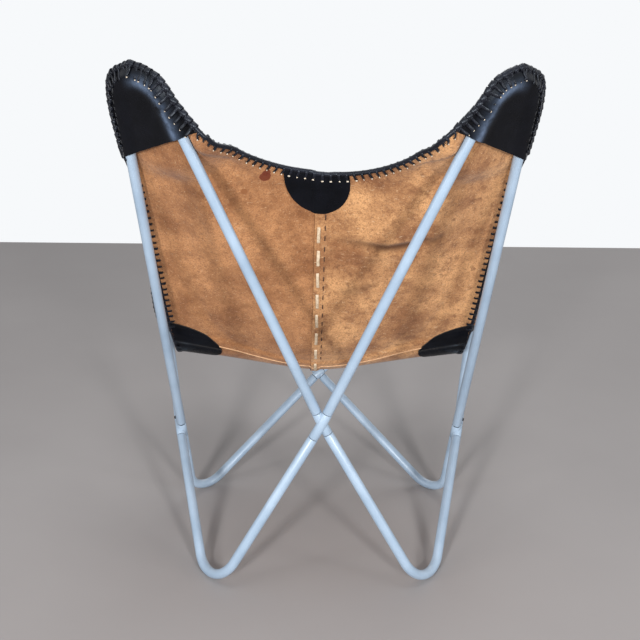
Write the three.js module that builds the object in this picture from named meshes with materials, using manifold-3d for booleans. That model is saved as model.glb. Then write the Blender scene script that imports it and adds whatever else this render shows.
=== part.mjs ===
// A butterfly sling chair: a knock-down frame of bent tubes and a leather sling hung on its four tips.
// Millimetres, +Z up. The chair faces -Y, its left side is +X, and the origin is on the floor at the middle.
import * as THREE from "three";
import { mergeVertices } from "three/addons/utils/BufferGeometryUtils.js";
import Module from "manifold-3d";

const wasm = await Module();
wasm.setup();

// Tube stock and its bends
const tubeDiameter = 17;
const tubeWall = 1.5;
const hoopBendRadius = 51.5;
const rearFootBendRadius = 60;
const frontFootBendRadius = 45;

// Where the straight legs of a hoop would meet above its round tip
const rearCornerAside = 328;
const rearCornerBack = 257;
const rearCornerHeight = 1040;
const frontCornerAside = 348;
const frontCornerForward = 418;
const frontCornerHeight = 474;

// Where the straight legs of a foot would meet below its bend
const rearFootAside = 191;
const rearFootBack = 247;
const frontFootAside = 245;
const frontFootForward = 94;

// The four crossings
const rearCrossingBack = 235;
const rearCrossingHeight = 306;
const frontCrossingForward = 229;
const frontCrossingHeight = 195;
const sideCrossingAside = 260;
const sideCrossingForward = 31;
const sideCrossingHeight = 164;

// The crossing pieces
const crossingLap = 4;
const armMargin = 1.6;
const longArm = 28;
const spigotLength = 34;
const screwedNeck = 3;
const fitGap = 0.3;
const footFlatDepth = 0.7;
const screwHeadDiameter = 6.4;
const screwHeadHeight = 2.6;
const screwShankDiameter = 3.4;
const screwShankDepth = 5;
const screwSetback = 13;

// The leather
const panelThickness = 3;
const pocketThickness = 2.4;
const patchThickness = 1.8;
const wingMargin = 7.5;
const lacingDiameter = 7;

// The sling's middle line, its waist and its two hanging edges
const backDipBack = 150;
const backDipHeight = 698.5;
const waistForward = 60;
const waistHeight = 281;
const waistHalfWidth = 264;
const waistSideHeight = 315;
const seatLowForward = 150;
const seatLowHeight = 250;
const frontDipForward = 303;
const frontDipHeight = 306;

// Patches sewn on the back of the sling
const topPatchHalfWidth = 56;
const topPatchDrop = 61;
const topPatchSetback = 5;
const cornerPatchReach = 83;
const cornerPatchHalfHeight = 53;
const patchSetback = 1;

// How finely the round things are cut up
const tubeSides = 16;
const boreSides = 12;
const bendSteps = 9;
const overrun = 2;

const point = (x, y, z) => new THREE.Vector3(x, y, z);
const tubeRadius = tubeDiameter / 2;
const boreRadius = tubeRadius - tubeWall;
const mirrored = (side, p) => point(side * p.x, p.y, p.z);

const sidePlaces = (side) => ({
  rearCorner: point(side * rearCornerAside, rearCornerBack, rearCornerHeight),
  frontCorner: point(side * frontCornerAside, -frontCornerForward, frontCornerHeight),
  sideCrossing: point(side * sideCrossingAside, -sideCrossingForward, sideCrossingHeight),
});
const rearCrossing = point(0, rearCrossingBack, rearCrossingHeight);
const frontCrossing = point(0, -frontCrossingForward, frontCrossingHeight);

// A round bend that joins two straight legs meeting at a corner
function roundBend(corner, endA, endB, radius) {
  const towardsA = endA.clone().sub(corner).normalize();
  const towardsB = endB.clone().sub(corner).normalize();
  const half = towardsA.angleTo(towardsB) / 2;
  const inward = towardsA.clone().add(towardsB).normalize();
  const centre = corner.clone().addScaledVector(inward, radius / Math.sin(half));
  const normal = towardsA.clone().cross(towardsB).normalize();
  const across = towardsB.clone().sub(towardsA).normalize();
  return { centre, half, inward, normal, across, radius, turn: Math.PI - 2 * half };
}

// A path that is only ever read at its own stations, each with a place and a heading
class StationPath extends THREE.Curve {
  constructor(stations) {
    super();
    this.stations = stations;
  }
  station(t) {
    return this.stations[Math.round(t * (this.stations.length - 1))];
  }
  getPointAt(t) {
    return this.station(t).at.clone();
  }
  getTangentAt(t) {
    return this.station(t).heading.clone();
  }
}

// A bent tube's path: straight leg, round bend, straight leg, with one station at each end of a leg
class BentPath extends StationPath {
  constructor(endA, corner, endB, radius) {
    super([]);
    const bend = roundBend(corner, endA, endB, radius);
    this.bend = bend;
    this.stations = [{ at: endA, heading: corner.clone().sub(endA).normalize() }];
    for (let step = 0; step <= bendSteps; step += 1) {
      const angle = (step / bendSteps - 0.5) * bend.turn;
      const outward = bend.inward.clone().multiplyScalar(-Math.cos(angle));
      outward.addScaledVector(bend.across, Math.sin(angle));
      const heading = bend.across.clone().multiplyScalar(Math.cos(angle));
      heading.addScaledVector(bend.inward, Math.sin(angle));
      this.stations.push({ at: bend.centre.clone().addScaledVector(outward, radius), heading });
    }
    this.stations.push({ at: endB, heading: endB.clone().sub(corner).normalize() });
  }
}

function circleShape(radius, sides) {
  const corners = [];
  for (let side = 0; side < sides; side += 1) {
    const angle = ((side + 0.5) / sides) * 2 * Math.PI;
    corners.push(new THREE.Vector2(radius * Math.cos(angle), radius * Math.sin(angle)));
  }
  return corners;
}

function bentTube(path) {
  const section = new THREE.Shape(circleShape(tubeRadius, tubeSides));
  section.holes.push(new THREE.Path(circleShape(boreRadius, boreSides)));
  const steps = path.stations.length - 1;
  return new THREE.ExtrudeGeometry(section, { extrudePath: path, steps, bevelEnabled: false });
}

// The corner of a foot is set so low that its bend just dips under the floor by the worn flat
const settlePasses = 4;
function footCorner(x, y, endA, endB, radius) {
  const corner = point(x, y, 0);
  for (let pass = 0; pass < settlePasses; pass += 1) {
    const tube = bentTube(new BentPath(endA, corner, endB, radius));
    tube.computeBoundingBox();
    corner.z -= tube.boundingBox.min.z + footFlatDepth;
  }
  return corner;
}

// Solids for joining and cutting, and back again
function toSolid(geometry) {
  const bare = geometry.index ? geometry.toNonIndexed() : geometry.clone();
  bare.deleteAttribute("normal");
  bare.deleteAttribute("uv");
  const merged = mergeVertices(bare, 1e-4);
  return new wasm.Manifold(new wasm.Mesh({
    numProp: 3,
    vertProperties: new Float32Array(merged.attributes.position.array),
    triVerts: new Uint32Array(merged.index.array),
  }));
}

function toGeometry(solid) {
  const mesh = solid.getMesh();
  const geometry = new THREE.BufferGeometry();
  geometry.setAttribute("position", new THREE.BufferAttribute(new Float32Array(mesh.vertProperties), 3));
  geometry.setIndex(new THREE.BufferAttribute(new Uint32Array(mesh.triVerts), 1));
  return geometry.toNonIndexed();
}

function rodGeometry(from, to, radius, sides) {
  const length = from.distanceTo(to);
  const geometry = new THREE.CylinderGeometry(radius, radius, length, sides);
  const heading = to.clone().sub(from).normalize();
  geometry.applyQuaternion(new THREE.Quaternion().setFromUnitVectors(point(0, 1, 0), heading));
  const middle = from.clone().add(to).multiplyScalar(0.5);
  return geometry.translate(middle.x, middle.y, middle.z);
}

// Each crossing holds two rods, one lapped over the other by a few millimetres
const overRod = (centre, lapDirection) => centre.clone().addScaledVector(lapDirection, crossingLap / 2);
const underRod = (centre, lapDirection) => centre.clone().addScaledVector(lapDirection, -crossingLap / 2);

function crossing(centre, lapDirection, rods) {
  const arms = {};
  rods.forEach((rod, index) => {
    const middle = index === 0 ? overRod(centre, lapDirection) : underRod(centre, lapDirection);
    rod.forEach(({ leg, towards, arm, neck = 0 }) => {
      arms[leg] = { middle, heading: towards.clone().sub(middle).normalize(), arm, neck };
    });
  });
  const headings = Object.values(arms).map((entry) => entry.heading);
  let closest = Math.PI;
  headings.forEach((a, i) => headings.slice(i + 1).forEach((b) => {
    closest = Math.min(closest, a.angleTo(b));
  }));
  const shortArm = tubeRadius / Math.tan(closest / 2) + armMargin;
  Object.values(arms).forEach((entry) => {
    entry.arm = entry.arm ?? shortArm;
    entry.shoulder = entry.middle.clone().addScaledVector(entry.heading, entry.arm);
    const reach = entry.arm + fitGap + entry.neck;
    entry.tubeEnd = entry.middle.clone().addScaledVector(entry.heading, reach);
    entry.tip = entry.shoulder.clone().addScaledVector(entry.heading, spigotLength);
  });
  return arms;
}

function crossingGeometry(arms, screwHole) {
  let solid = null;
  const join = (geometry) => {
    const next = toSolid(geometry);
    solid = solid ? solid.add(next) : next;
  };
  Object.values(arms).forEach(({ middle, shoulder, tip, heading }) => {
    const rodStart = middle.clone().addScaledVector(heading, -armMargin);
    join(rodGeometry(rodStart, shoulder, tubeRadius, tubeSides));
    join(rodGeometry(middle, tip, boreRadius - fitGap, boreSides));
  });
  if (screwHole) solid = solid.subtract(screwHole);
  return toGeometry(solid);
}

// Corners, crossings and the sixteen slip joints
const backward = point(0, 1, 0);
const places = { left: sidePlaces(1), right: sidePlaces(-1) };
["left", "right"].forEach((hand) => {
  const side = hand === "left" ? 1 : -1;
  const spot = places[hand];
  const outward = point(side, 0, 0);
  const onRod = hand === "left" ? overRod : underRod;
  spot.rearFoot = footCorner(
    side * rearFootAside, rearFootBack,
    onRod(rearCrossing, backward), overRod(spot.sideCrossing, outward), rearFootBendRadius);
  spot.frontFoot = footCorner(
    side * frontFootAside, -frontFootForward,
    onRod(frontCrossing, backward), underRod(spot.sideCrossing, outward), frontFootBendRadius);
});

const joints = {
  rear: crossing(rearCrossing, backward, [
    [{ leg: "right_hoop", towards: places.right.rearCorner },
      { leg: "left_foot", towards: places.left.rearFoot, arm: longArm }],
    [{ leg: "left_hoop", towards: places.left.rearCorner },
      { leg: "right_foot", towards: places.right.rearFoot }],
  ]),
  front: crossing(frontCrossing, backward, [
    [{ leg: "right_hoop", towards: places.right.frontCorner },
      { leg: "left_foot", towards: places.left.frontFoot }],
    [{ leg: "left_hoop", towards: places.left.frontCorner },
      { leg: "right_foot", towards: places.right.frontFoot }],
  ]),
};
["left", "right"].forEach((hand) => {
  const side = hand === "left" ? 1 : -1;
  const spot = places[hand];
  joints[hand] = crossing(spot.sideCrossing, point(side, 0, 0), [
    [{ leg: "front_hoop", towards: spot.frontCorner }, { leg: "rear_foot", towards: spot.rearFoot }],
    [{ leg: "rear_hoop", towards: spot.rearCorner, neck: screwedNeck },
      { leg: "front_foot", towards: spot.frontFoot }],
  ]);
});

// The four hoops and four feet, each a tube between two slip joints
const tubePaths = {};
["left", "right"].forEach((hand) => {
  const spot = places[hand];
  const handJoint = joints[hand];
  tubePaths[`rear_hoop_${hand}`] = new BentPath(
    joints.rear[`${hand}_hoop`].tubeEnd, spot.rearCorner, handJoint.rear_hoop.tubeEnd, hoopBendRadius);
  tubePaths[`front_hoop_${hand}`] = new BentPath(
    joints.front[`${hand}_hoop`].tubeEnd, spot.frontCorner, handJoint.front_hoop.tubeEnd, hoopBendRadius);
  tubePaths[`rear_foot_${hand}`] = new BentPath(
    joints.rear[`${hand}_foot`].tubeEnd, spot.rearFoot, handJoint.rear_foot.tubeEnd, rearFootBendRadius);
  tubePaths[`front_foot_${hand}`] = new BentPath(
    joints.front[`${hand}_foot`].tubeEnd, spot.frontFoot, handJoint.front_foot.tubeEnd, frontFootBendRadius);
});

// A small locking screw through each rear hoop's outer leg into the side crossing's spigot
function screwPlaces(hand) {
  const side = hand === "left" ? 1 : -1;
  const { tubeEnd, heading } = joints[hand].rear_hoop;
  const onAxis = tubeEnd.clone().addScaledVector(heading, screwSetback);
  const outward = point(side, 0, 0);
  outward.addScaledVector(heading, -outward.dot(heading)).normalize();
  const surface = onAxis.clone().addScaledVector(outward, tubeRadius + fitGap);
  return { surface, outward };
}

function screwHole(hand) {
  const { surface, outward } = screwPlaces(hand);
  const bottom = surface.clone().addScaledVector(outward, -(tubeWall + screwShankDepth + fitGap * 3));
  const top = surface.clone().addScaledVector(outward, overrun);
  return toSolid(rodGeometry(bottom, top, screwShankDiameter / 2 + fitGap, boreSides));
}

function screwGeometry(hand) {
  const { surface, outward } = screwPlaces(hand);
  const bottom = surface.clone().addScaledVector(outward, -(tubeWall + screwShankDepth));
  const head = [
    [0, -overrun], [screwShankDiameter / 2, -overrun], [screwShankDiameter / 2, 0],
    [screwHeadDiameter / 2, 0], [screwHeadDiameter / 2, screwHeadHeight * 0.4],
    [screwHeadDiameter * 0.34, screwHeadHeight * 0.9], [0, screwHeadHeight],
  ].map(([x, y]) => new THREE.Vector2(x, y));
  const cap = new THREE.LatheGeometry(head, boreSides);
  cap.applyQuaternion(new THREE.Quaternion().setFromUnitVectors(point(0, 1, 0), outward));
  cap.translate(surface.x, surface.y, surface.z);
  const neck = surface.clone().addScaledVector(outward, -overrun / 2);
  const shank = rodGeometry(bottom, neck, screwShankDiameter / 2, boreSides);
  return toGeometry(toSolid(cap).add(toSolid(shank)));
}

// A worn flat under each foot, cut at floor level
function standing(geometry) {
  const size = frontCornerAside * 2;
  const ground = new THREE.BoxGeometry(size, size, overrun * 4).translate(0, 0, -overrun * 2);
  return toGeometry(toSolid(geometry).subtract(toSolid(ground)));
}

// The sling. Its corners lie beside the hoops, so they are placed in each hoop's own plane
const wingRadius = hoopBendRadius + tubeRadius + wingMargin;
const wingOffset = tubeRadius + panelThickness / 2 + fitGap;

// Each half of the sling is worked out as a left half from its own two hoops, then mirrored if need be
function wingFrame(path, side, upward) {
  const { centre, inward, across, normal } = path.bend;
  const seatSide = mirrored(side, normal);
  seatSide.multiplyScalar(Math.sign(seatSide.dot(upward)));
  return {
    centre: mirrored(side, centre),
    inward: mirrored(side, inward),
    across: mirrored(side, across),
    seatSide,
  };
}

function wingPlace(frame, [along, across]) {
  const spot = frame.centre.clone().addScaledVector(frame.inward, -along * wingRadius);
  spot.addScaledVector(frame.across, across * wingRadius);
  return spot.addScaledVector(frame.seatSide, wingOffset);
}

// Places on a wing, in shares of its radius: along the tip's direction, then across it
const tipShares = [1, 0];
const innerRoundShares = [[0.17, -0.985], [0.707, -0.707]];
const outerRoundShares = [[0.72, 0.74], [0.17, 1.045]];
const frontShoulderShares = [-0.55, -1.36];
const rearShoulderShares = { left: [-0.643, -1.38], right: [-0.671, -1.494] };
const rearCuffShares = [-1.4, 1.32];
const frontCuffShares = [-1.2, 1.5];

// Places between two others, each in shares of the way along X, Y and Z
const between = (from, to, shares) => shares.map(([x, y, z]) => point(
  from.x + (to.x - from.x) * x, from.y + (to.y - from.y) * y, from.z + (to.z - from.z) * z));
const topEdgeShares = {
  left: [[0.12, 0.02, 0.03], [0.37, 0.185, 0.173], [0.657, 0.48, 0.443], [0.86, 0.76, 0.862]],
  right: [[0.12, 0.02, -0.011], [0.37, 0.185, 0.091], [0.657, 0.48, 0.342], [0.86, 0.76, 0.745]],
};
const backSideShares = [[0.51, 0.263, 0.277], [0.955, 0.794, 0.8325]];
const seatSideShares = [[0.2, 0.47, -0.5]];
const frontEdgeShares = [[0.12, 0.02, 0.02], [0.534, 0.375, 0.31]];
const backMiddleShares = [[0, 0.152, 0.22], [0, 0.324, 0.452], [0, 0.514, 0.672], [0, 0.738, 0.868]];
const seatMiddleShares = [[0, 0.5, 0.74]];
const frontMiddleShares = [[0, 0.52, 0.27]];

// A smooth curve read by its length, with the share of the length at which each knot lies
function evenCurve(knots) {
  const curve = new THREE.CatmullRomCurve3(knots, false, "centripetal");
  curve.arcLengthDivisions = 60 * knots.length;
  const lengths = curve.getLengths();
  const total = curve.getLength();
  const knotShare = (knot) => {
    const place = (knots.indexOf(knot) / (knots.length - 1)) * curve.arcLengthDivisions;
    return lengths[Math.round(place)] / total;
  };
  const at = (share) => curve.getPointAt(Math.min(Math.max(share, 0), 1));
  return { at, knotShare, length: total };
}

const backDip = point(0, backDipBack, backDipHeight);
const waistMiddle = point(0, -waistForward, waistHeight);
const seatLow = point(0, -seatLowForward, seatLowHeight);
const frontDip = point(0, -frontDipForward, frontDipHeight);
const waistSide = point(waistHalfWidth, -waistForward, waistSideHeight);
const middleLine = evenCurve([
  backDip, ...between(backDip, waistMiddle, backMiddleShares), waistMiddle,
  ...between(waistMiddle, seatLow, seatMiddleShares), seatLow,
  ...between(seatLow, frontDip, frontMiddleShares), frontDip]);
const middleWaist = middleLine.knotShare(waistMiddle);

function slingHalf(hand) {
  const side = hand === "left" ? 1 : -1;
  const rear = wingFrame(tubePaths[`rear_hoop_${hand}`], side, point(0, -1, 0));
  const front = wingFrame(tubePaths[`front_hoop_${hand}`], side, point(0, 0, 1));
  const rearTip = wingPlace(rear, tipShares);
  const frontTip = wingPlace(front, tipShares);
  const rearShoulder = wingPlace(rear, rearShoulderShares[hand]);
  const frontShoulder = wingPlace(front, frontShoulderShares);
  const rearCuff = wingPlace(rear, rearCuffShares);
  const frontCuff = wingPlace(front, frontCuffShares);
  const roundOf = (frame, shares) => shares.map((pair) => wingPlace(frame, pair));
  const topEdge = evenCurve([
    backDip, ...between(backDip, rearShoulder, topEdgeShares[hand]), rearShoulder,
    ...roundOf(rear, innerRoundShares), rearTip]);
  const frontEdge = evenCurve([
    frontDip, ...between(frontDip, frontShoulder, frontEdgeShares), frontShoulder,
    ...roundOf(front, innerRoundShares), frontTip]);
  const sideEdge = evenCurve([
    rearTip, ...roundOf(rear, outerRoundShares), rearCuff,
    ...between(rearCuff, waistSide, backSideShares), waistSide,
    ...between(waistSide, frontCuff, seatSideShares), frontCuff,
    ...roundOf(front, outerRoundShares).reverse(), frontTip]);
  return {
    rear, front, topEdge, frontEdge, sideEdge, rearTip, frontTip,
    sideWaist: sideEdge.knotShare(waistSide),
    rearShoulderShare: topEdge.knotShare(rearShoulder),
    frontShoulderShare: frontEdge.knotShare(frontShoulder),
    rearCuffShare: sideEdge.knotShare(rearCuff),
    frontCuffShare: sideEdge.knotShare(frontCuff),
  };
}
const halves = { left: slingHalf("left"), right: slingHalf("right") };
const halfOf = (side) => (side < 0 ? halves.right : halves.left);
const waistShare = (v, waist) => (v < 0.5 ? v * 2 * waist : waist + (v * 2 - 1) * (1 - waist));

// Near a hoop's tip the leather lies flat along the hoop, and nowhere does it pass behind the hoop
const flatReachShare = 1.5;
const flatFadeShare = 0.7;
function besideHoop(spot, frame) {
  const away = spot.clone().sub(frame.centre);
  const height = away.dot(frame.seatSide);
  const fade = Math.min(Math.max((away.length() / wingRadius - flatReachShare) / flatFadeShare, 0), 1);
  const hold = 1 - fade * fade * (3 - 2 * fade);
  const wanted = Math.max(height + (wingOffset - height) * hold, wingOffset);
  return spot.addScaledVector(frame.seatSide, wanted - height);
}

// Sideways the cloth leaves the middle line level and soon runs straight out to the edge
const middleRoundnessShare = 3;
const sag = (reach) => reach - reach * (1 - reach) ** middleRoundnessShare;

// The sling's middle surface: u runs from the middle line to the side edge, v from the back to the front
function slingPoint(u, v) {
  const side = u < 0 ? -1 : 1;
  const half = halfOf(side);
  const reach = Math.abs(u);
  const top = half.topEdge.at(reach);
  const front = half.frontEdge.at(reach);
  const middle = middleLine.at(waistShare(v, middleWaist));
  const edge = half.sideEdge.at(waistShare(v, half.sideWaist));
  const blend = (key, weight) => {
    const base = middle[key] + (edge[key] - middle[key]) * weight;
    const topRest = top[key] - (backDip[key] + (half.rearTip[key] - backDip[key]) * weight);
    const frontRest = front[key] - (frontDip[key] + (half.frontTip[key] - frontDip[key]) * weight);
    return base + Math.max(1 - 2 * v, 0) ** 2 * topRest + Math.max(2 * v - 1, 0) ** 2 * frontRest;
  };
  const spot = point(blend("x", reach), blend("y", sag(reach)), blend("z", sag(reach)));
  return mirrored(side, besideHoop(besideHoop(spot, half.rear), half.front));
}

// The back of the leather is the side away from the sitter
const probeShare = 0.004;
function slingBack(u, v) {
  const uu = Math.min(Math.max(u, -1 + 2 * probeShare), 1 - 2 * probeShare);
  const vv = Math.min(Math.max(v, 2 * probeShare), 1 - 2 * probeShare);
  const alongU = slingPoint(uu + probeShare, vv).sub(slingPoint(uu - probeShare, vv));
  const alongV = slingPoint(uu, vv + probeShare).sub(slingPoint(uu, vv - probeShare));
  return alongU.cross(alongV).normalize();
}
const slingAt = (u, v, height) => slingPoint(u, v).addScaledVector(slingBack(u, v), height);

// A closed skin over two matching grids of points, with a rim between them
function skin(lower, upper) {
  const rows = lower.length - 1;
  const columns = lower[0].length - 1;
  const faces = [];
  const quad = (a, b, c, d) => faces.push([a, b, c], [a, c, d]);
  for (let i = 0; i < rows; i += 1) {
    for (let j = 0; j < columns; j += 1) {
      quad(lower[i][j], lower[i][j + 1], lower[i + 1][j + 1], lower[i + 1][j]);
      quad(upper[i + 1][j], upper[i + 1][j + 1], upper[i][j + 1], upper[i][j]);
    }
    quad(lower[i][0], lower[i + 1][0], upper[i + 1][0], upper[i][0]);
    quad(upper[i][columns], upper[i + 1][columns], lower[i + 1][columns], lower[i][columns]);
  }
  for (let j = 0; j < columns; j += 1) {
    quad(upper[0][j], upper[0][j + 1], lower[0][j + 1], lower[0][j]);
    quad(lower[rows][j], lower[rows][j + 1], upper[rows][j + 1], upper[rows][j]);
  }
  const volume = faces.reduce((sum, [a, b, c]) => sum + a.dot(b.clone().cross(c)), 0);
  const outward = volume > 0 ? faces : faces.map(([a, b, c]) => [a, c, b]);
  const geometry = new THREE.BufferGeometry();
  const numbers = outward.flatMap((face) => face.flatMap((corner) => corner.toArray()));
  geometry.setAttribute("position", new THREE.Float32BufferAttribute(numbers, 3));
  return toGeometry(toSolid(geometry));
}

const grid = (rows, columns, place) => Array.from({ length: rows + 1 }, (_, i) =>
  Array.from({ length: columns + 1 }, (__, j) => place(i / rows, j / columns)));

function sheet(rows, columns, place, thickness, lift) {
  const surface = (height) => grid(rows, columns, (row, column) => {
    const { u, v } = place(row, column);
    return slingAt(u, v, height);
  });
  return skin(surface(lift - thickness / 2), surface(lift + thickness / 2));
}

// The four panels, with their rows and columns crowded towards the wings
const panelRows = 16;
const panelColumns = 14;
const rowCrowdingShare = 1.25;
const columnCrowdingShare = 1.2;
const bothEndsCrowdingShare = 0.4;
const waistSeamShare = 0.475;
const seamShare = 0.0002;
const centreSeamShare = 0.0006;
const panelReach = (column) => {
  const crowded = column - (bothEndsCrowdingShare * Math.sin(2 * Math.PI * column)) / (2 * Math.PI);
  const reach = 1 - (1 - crowded) ** columnCrowdingShare;
  return centreSeamShare + (1 - centreSeamShare) * reach;
};
const backDrop = (row) => (waistSeamShare - seamShare) * row ** rowCrowdingShare;
const seatDrop = (row) => (1 - waistSeamShare - seamShare) * row ** rowCrowdingShare;

function panel(side, isBack) {
  const place = (row, column) => ({
    u: side * panelReach(column),
    v: isBack ? backDrop(row) : 1 - seatDrop(1 - row),
  });
  return sheet(panelRows, panelColumns, place, panelThickness, 0);
}

// The pockets: each is laced round a wing's outline and stands up over the hoop, open at its lower hem
const pocketSlopeShare = 2.4;
const pocketSpare = 1.9;
const pocketSeat = panelThickness / 2 + fitGap + pocketThickness / 2;
const pocketHeight = wingOffset + tubeRadius + fitGap + pocketThickness / 2 + pocketSpare;
const pocketRowShares = [0.06, 0.11, 0.155, 0.2, 0.25, 0.31, 0.4, 0.65, 1];
const pocketRimShares = [0.02, 0.08, 0.14, 0.26];
const pocketMidShares = [0.5];
const outlineChecks = 48;
const outlineOverrunShare = 1.2;

function pocket(side, frame, inner, outer) {
  const outline = [];
  for (let step = -outlineChecks; step <= outlineChecks; step += 1) {
    const share = (Math.abs(step) / outlineChecks) * outlineOverrunShare;
    outline.push(step < 0 ? inner(share) : outer(share));
  }
  const edgeDistance = (spot) => {
    let nearest = wingRadius;
    outline.slice(1).forEach((end, index) => {
      const run = new THREE.Line3(outline[index], end);
      const close = run.closestPointToPoint(spot, true, point(0, 0, 0));
      nearest = Math.min(nearest, close.distanceTo(spot));
    });
    return nearest;
  };
  const columnsAt = (width) => {
    const rim = pocketRimShares.map((share) => share * Math.min(wingRadius / width, 1));
    return [...rim, ...pocketMidShares, ...rim.map((share) => 1 - share).reverse()];
  };
  const surface = (height) => pocketRowShares.map((share) => {
    const from = inner(share);
    const to = outer(share);
    return columnsAt(from.distanceTo(to)).map((place) => {
      const spot = from.clone().lerp(to, place);
      const rise = Math.min(pocketSeat + pocketSlopeShare * edgeDistance(spot), pocketHeight);
      spot.addScaledVector(frame.seatSide, -(rise + height));
      return mirrored(side, spot);
    });
  });
  return skin(surface(-pocketThickness / 2), surface(pocketThickness / 2));
}

function rearPocket(side) {
  const { rear, topEdge, sideEdge, rearShoulderShare, rearCuffShare } = halfOf(side);
  const inner = (share) => topEdge.at(1 - share * (1 - rearShoulderShare));
  return pocket(side, rear, inner, (share) => sideEdge.at(share * rearCuffShare));
}

function frontPocket(side) {
  const { front, frontEdge, sideEdge, frontShoulderShare, frontCuffShare } = halfOf(side);
  const inner = (share) => frontEdge.at(1 - share * (1 - frontShoulderShare));
  return pocket(side, front, inner, (share) => sideEdge.at(1 - share * (1 - frontCuffShare)));
}

// Black patches sewn on the back of the leather
const patchLift = panelThickness / 2 + fitGap * 2 + patchThickness / 2;
const patchRoundShare = 0.985;
const roundedShare = (share) => Math.sqrt(1 - (share * patchRoundShare) ** 2);

function topPatch() {
  const backLength = middleLine.length * middleWaist * 2;
  const start = topPatchSetback / backLength;
  const drop = topPatchDrop / backLength;
  const reach = topPatchHalfWidth / halves.left.topEdge.length;
  const place = (row, column) => ({
    u: (column * 2 - 1) * roundedShare(row) * reach,
    v: start + row * drop,
  });
  return sheet(8, 8, place, patchThickness, patchLift);
}

function waistPatch(side) {
  const { sideEdge, sideWaist } = halfOf(side);
  const halfHeight = cornerPatchHalfHeight / (sideEdge.length * sideWaist * 2);
  const place = (row, column) => {
    const away = row * 2 - 1;
    const reach = roundedShare(Math.abs(away)) * cornerPatchReach;
    return {
      u: side * (1 - (patchSetback + reach * column) / waistHalfWidth),
      v: waistSeamShare + away * halfHeight,
    };
  };
  return sheet(10, 6, place, patchThickness, patchLift);
}

// The lacing that binds each free edge, as one roll beside the cut edge of the leather
const lacingSides = 6;
const lacingRadius = lacingDiameter / 2;
const tipRestShare = 0.004;
const insideStepShare = 0.04;

function lacingRoll(places) {
  const last = places.length - 1;
  const spots = places.map(({ u, v, inside }) => ({
    edge: slingPoint(u, v), back: slingBack(u, v), inside: slingPoint(inside.u, inside.v),
  }));
  const headingAt = (list, index) =>
    list[Math.min(index + 1, last)].clone().sub(list[Math.max(index - 1, 0)]).normalize();
  const edges = spots.map((spot) => spot.edge);
  const centres = spots.map(({ edge, back, inside }, index) => {
    const outward = headingAt(edges, index).cross(back).normalize();
    if (outward.dot(inside.clone().sub(edge)) > 0) outward.negate();
    return edge.clone().addScaledVector(outward, lacingRadius + fitGap);
  });
  const stations = centres.map((at, index) => ({ at, heading: headingAt(centres, index) }));
  const section = new THREE.Shape(circleShape(lacingRadius, lacingSides));
  const options = { extrudePath: new StationPath(stations), steps: last, bevelEnabled: false };
  return new THREE.ExtrudeGeometry(section, options);
}

function crossRoll(v) {
  const reaches = grid(0, panelColumns, (_, column) => Math.min(panelReach(column), 1 - tipRestShare))[0];
  const places = (side) => reaches.map((reach) => ({
    u: side * reach,
    v,
    inside: { u: side * reach * (1 - insideStepShare), v: v + (0.5 - v) * insideStepShare * 2 },
  }));
  return lacingRoll([...places(-1).reverse().slice(0, -1), ...places(1)]);
}

function sideRoll(side) {
  const dropsOf = (drop) => grid(0, panelRows, (_, row) => Math.max(drop(row), tipRestShare))[0];
  const all = [...dropsOf(backDrop).slice(0, -1), ...dropsOf(seatDrop).map((drop) => 1 - drop).reverse()];
  return lacingRoll(all.map((v) => ({ u: side, v, inside: { u: side * (1 - insideStepShare), v } })));
}

// Colours, and the assembly
const tubePaint = new THREE.Color("#b9c6dc");
const screwBlack = new THREE.Color("#20201f");
const tanLeather = new THREE.Color("#a9793f");
const blackLeather = new THREE.Color("#1b1a1c");

const chair = new THREE.Group();
function add(name, geometry, color, metalness, roughness) {
  geometry.computeVertexNormals();
  const material = new THREE.MeshStandardMaterial({ color, metalness, roughness });
  const mesh = new THREE.Mesh(geometry, material);
  mesh.name = name;
  chair.add(mesh);
}

const painted = (name, geometry) => add(name, geometry, tubePaint, 0.2, 0.4);
const tanned = (name, geometry) => add(name, geometry, tanLeather, 0, 0.7);
const blackened = (name, geometry) => add(name, geometry, blackLeather, 0, 0.5);

Object.entries(tubePaths).forEach(([name, path]) => {
  const tube = bentTube(path);
  if (name.includes("foot")) {
    painted(name, standing(tube));
  } else if (name.includes("rear")) {
    const hand = name.endsWith("left") ? "left" : "right";
    painted(name, toGeometry(toSolid(tube).subtract(screwHole(hand))));
  } else {
    painted(name, tube);
  }
});
painted("rear_cross_connector", crossingGeometry(joints.rear));
painted("front_cross_connector", crossingGeometry(joints.front));
["left", "right"].forEach((hand) => {
  const side = hand === "left" ? 1 : -1;
  painted(`${hand}_cross_connector`, crossingGeometry(joints[hand], screwHole(hand)));
  add(`side_screw_${hand}`, screwGeometry(hand), screwBlack, 0.6, 0.5);
  tanned(`back_panel_${hand}`, panel(side, true));
  tanned(`seat_panel_${hand}`, panel(side, false));
  blackened(`rear_pocket_${hand}`, rearPocket(side));
  blackened(`front_pocket_${hand}`, frontPocket(side));
  blackened(`waist_patch_${hand}`, waistPatch(side));
  blackened(`side_lacing_${hand}`, sideRoll(side));
});
blackened("top_centre_patch", topPatch());
blackened("top_lacing", crossRoll(0));
blackened("front_lacing", crossRoll(1));

// The origin goes under the middle of the chair's bounding box
chair.updateMatrixWorld(true);
const bounds = new THREE.Box3().setFromObject(chair);
const middleBack = (bounds.min.y + bounds.max.y) / 2;
chair.children.forEach((mesh) => mesh.geometry.translate(0, -middleBack, 0));

export default chair;
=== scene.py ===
# %% [markdown]
# # A butterfly sling chair
#
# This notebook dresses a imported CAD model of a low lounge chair. Eight bent tubes slip over four
# crossing pieces, and a leather sling hangs on the four rounded tips by sewn pockets.
# The CAD model gives every place and size; here each surface gets the look of the real thing.

import math

import bpy
import numpy as np
from mathutils import Matrix, Vector


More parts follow.
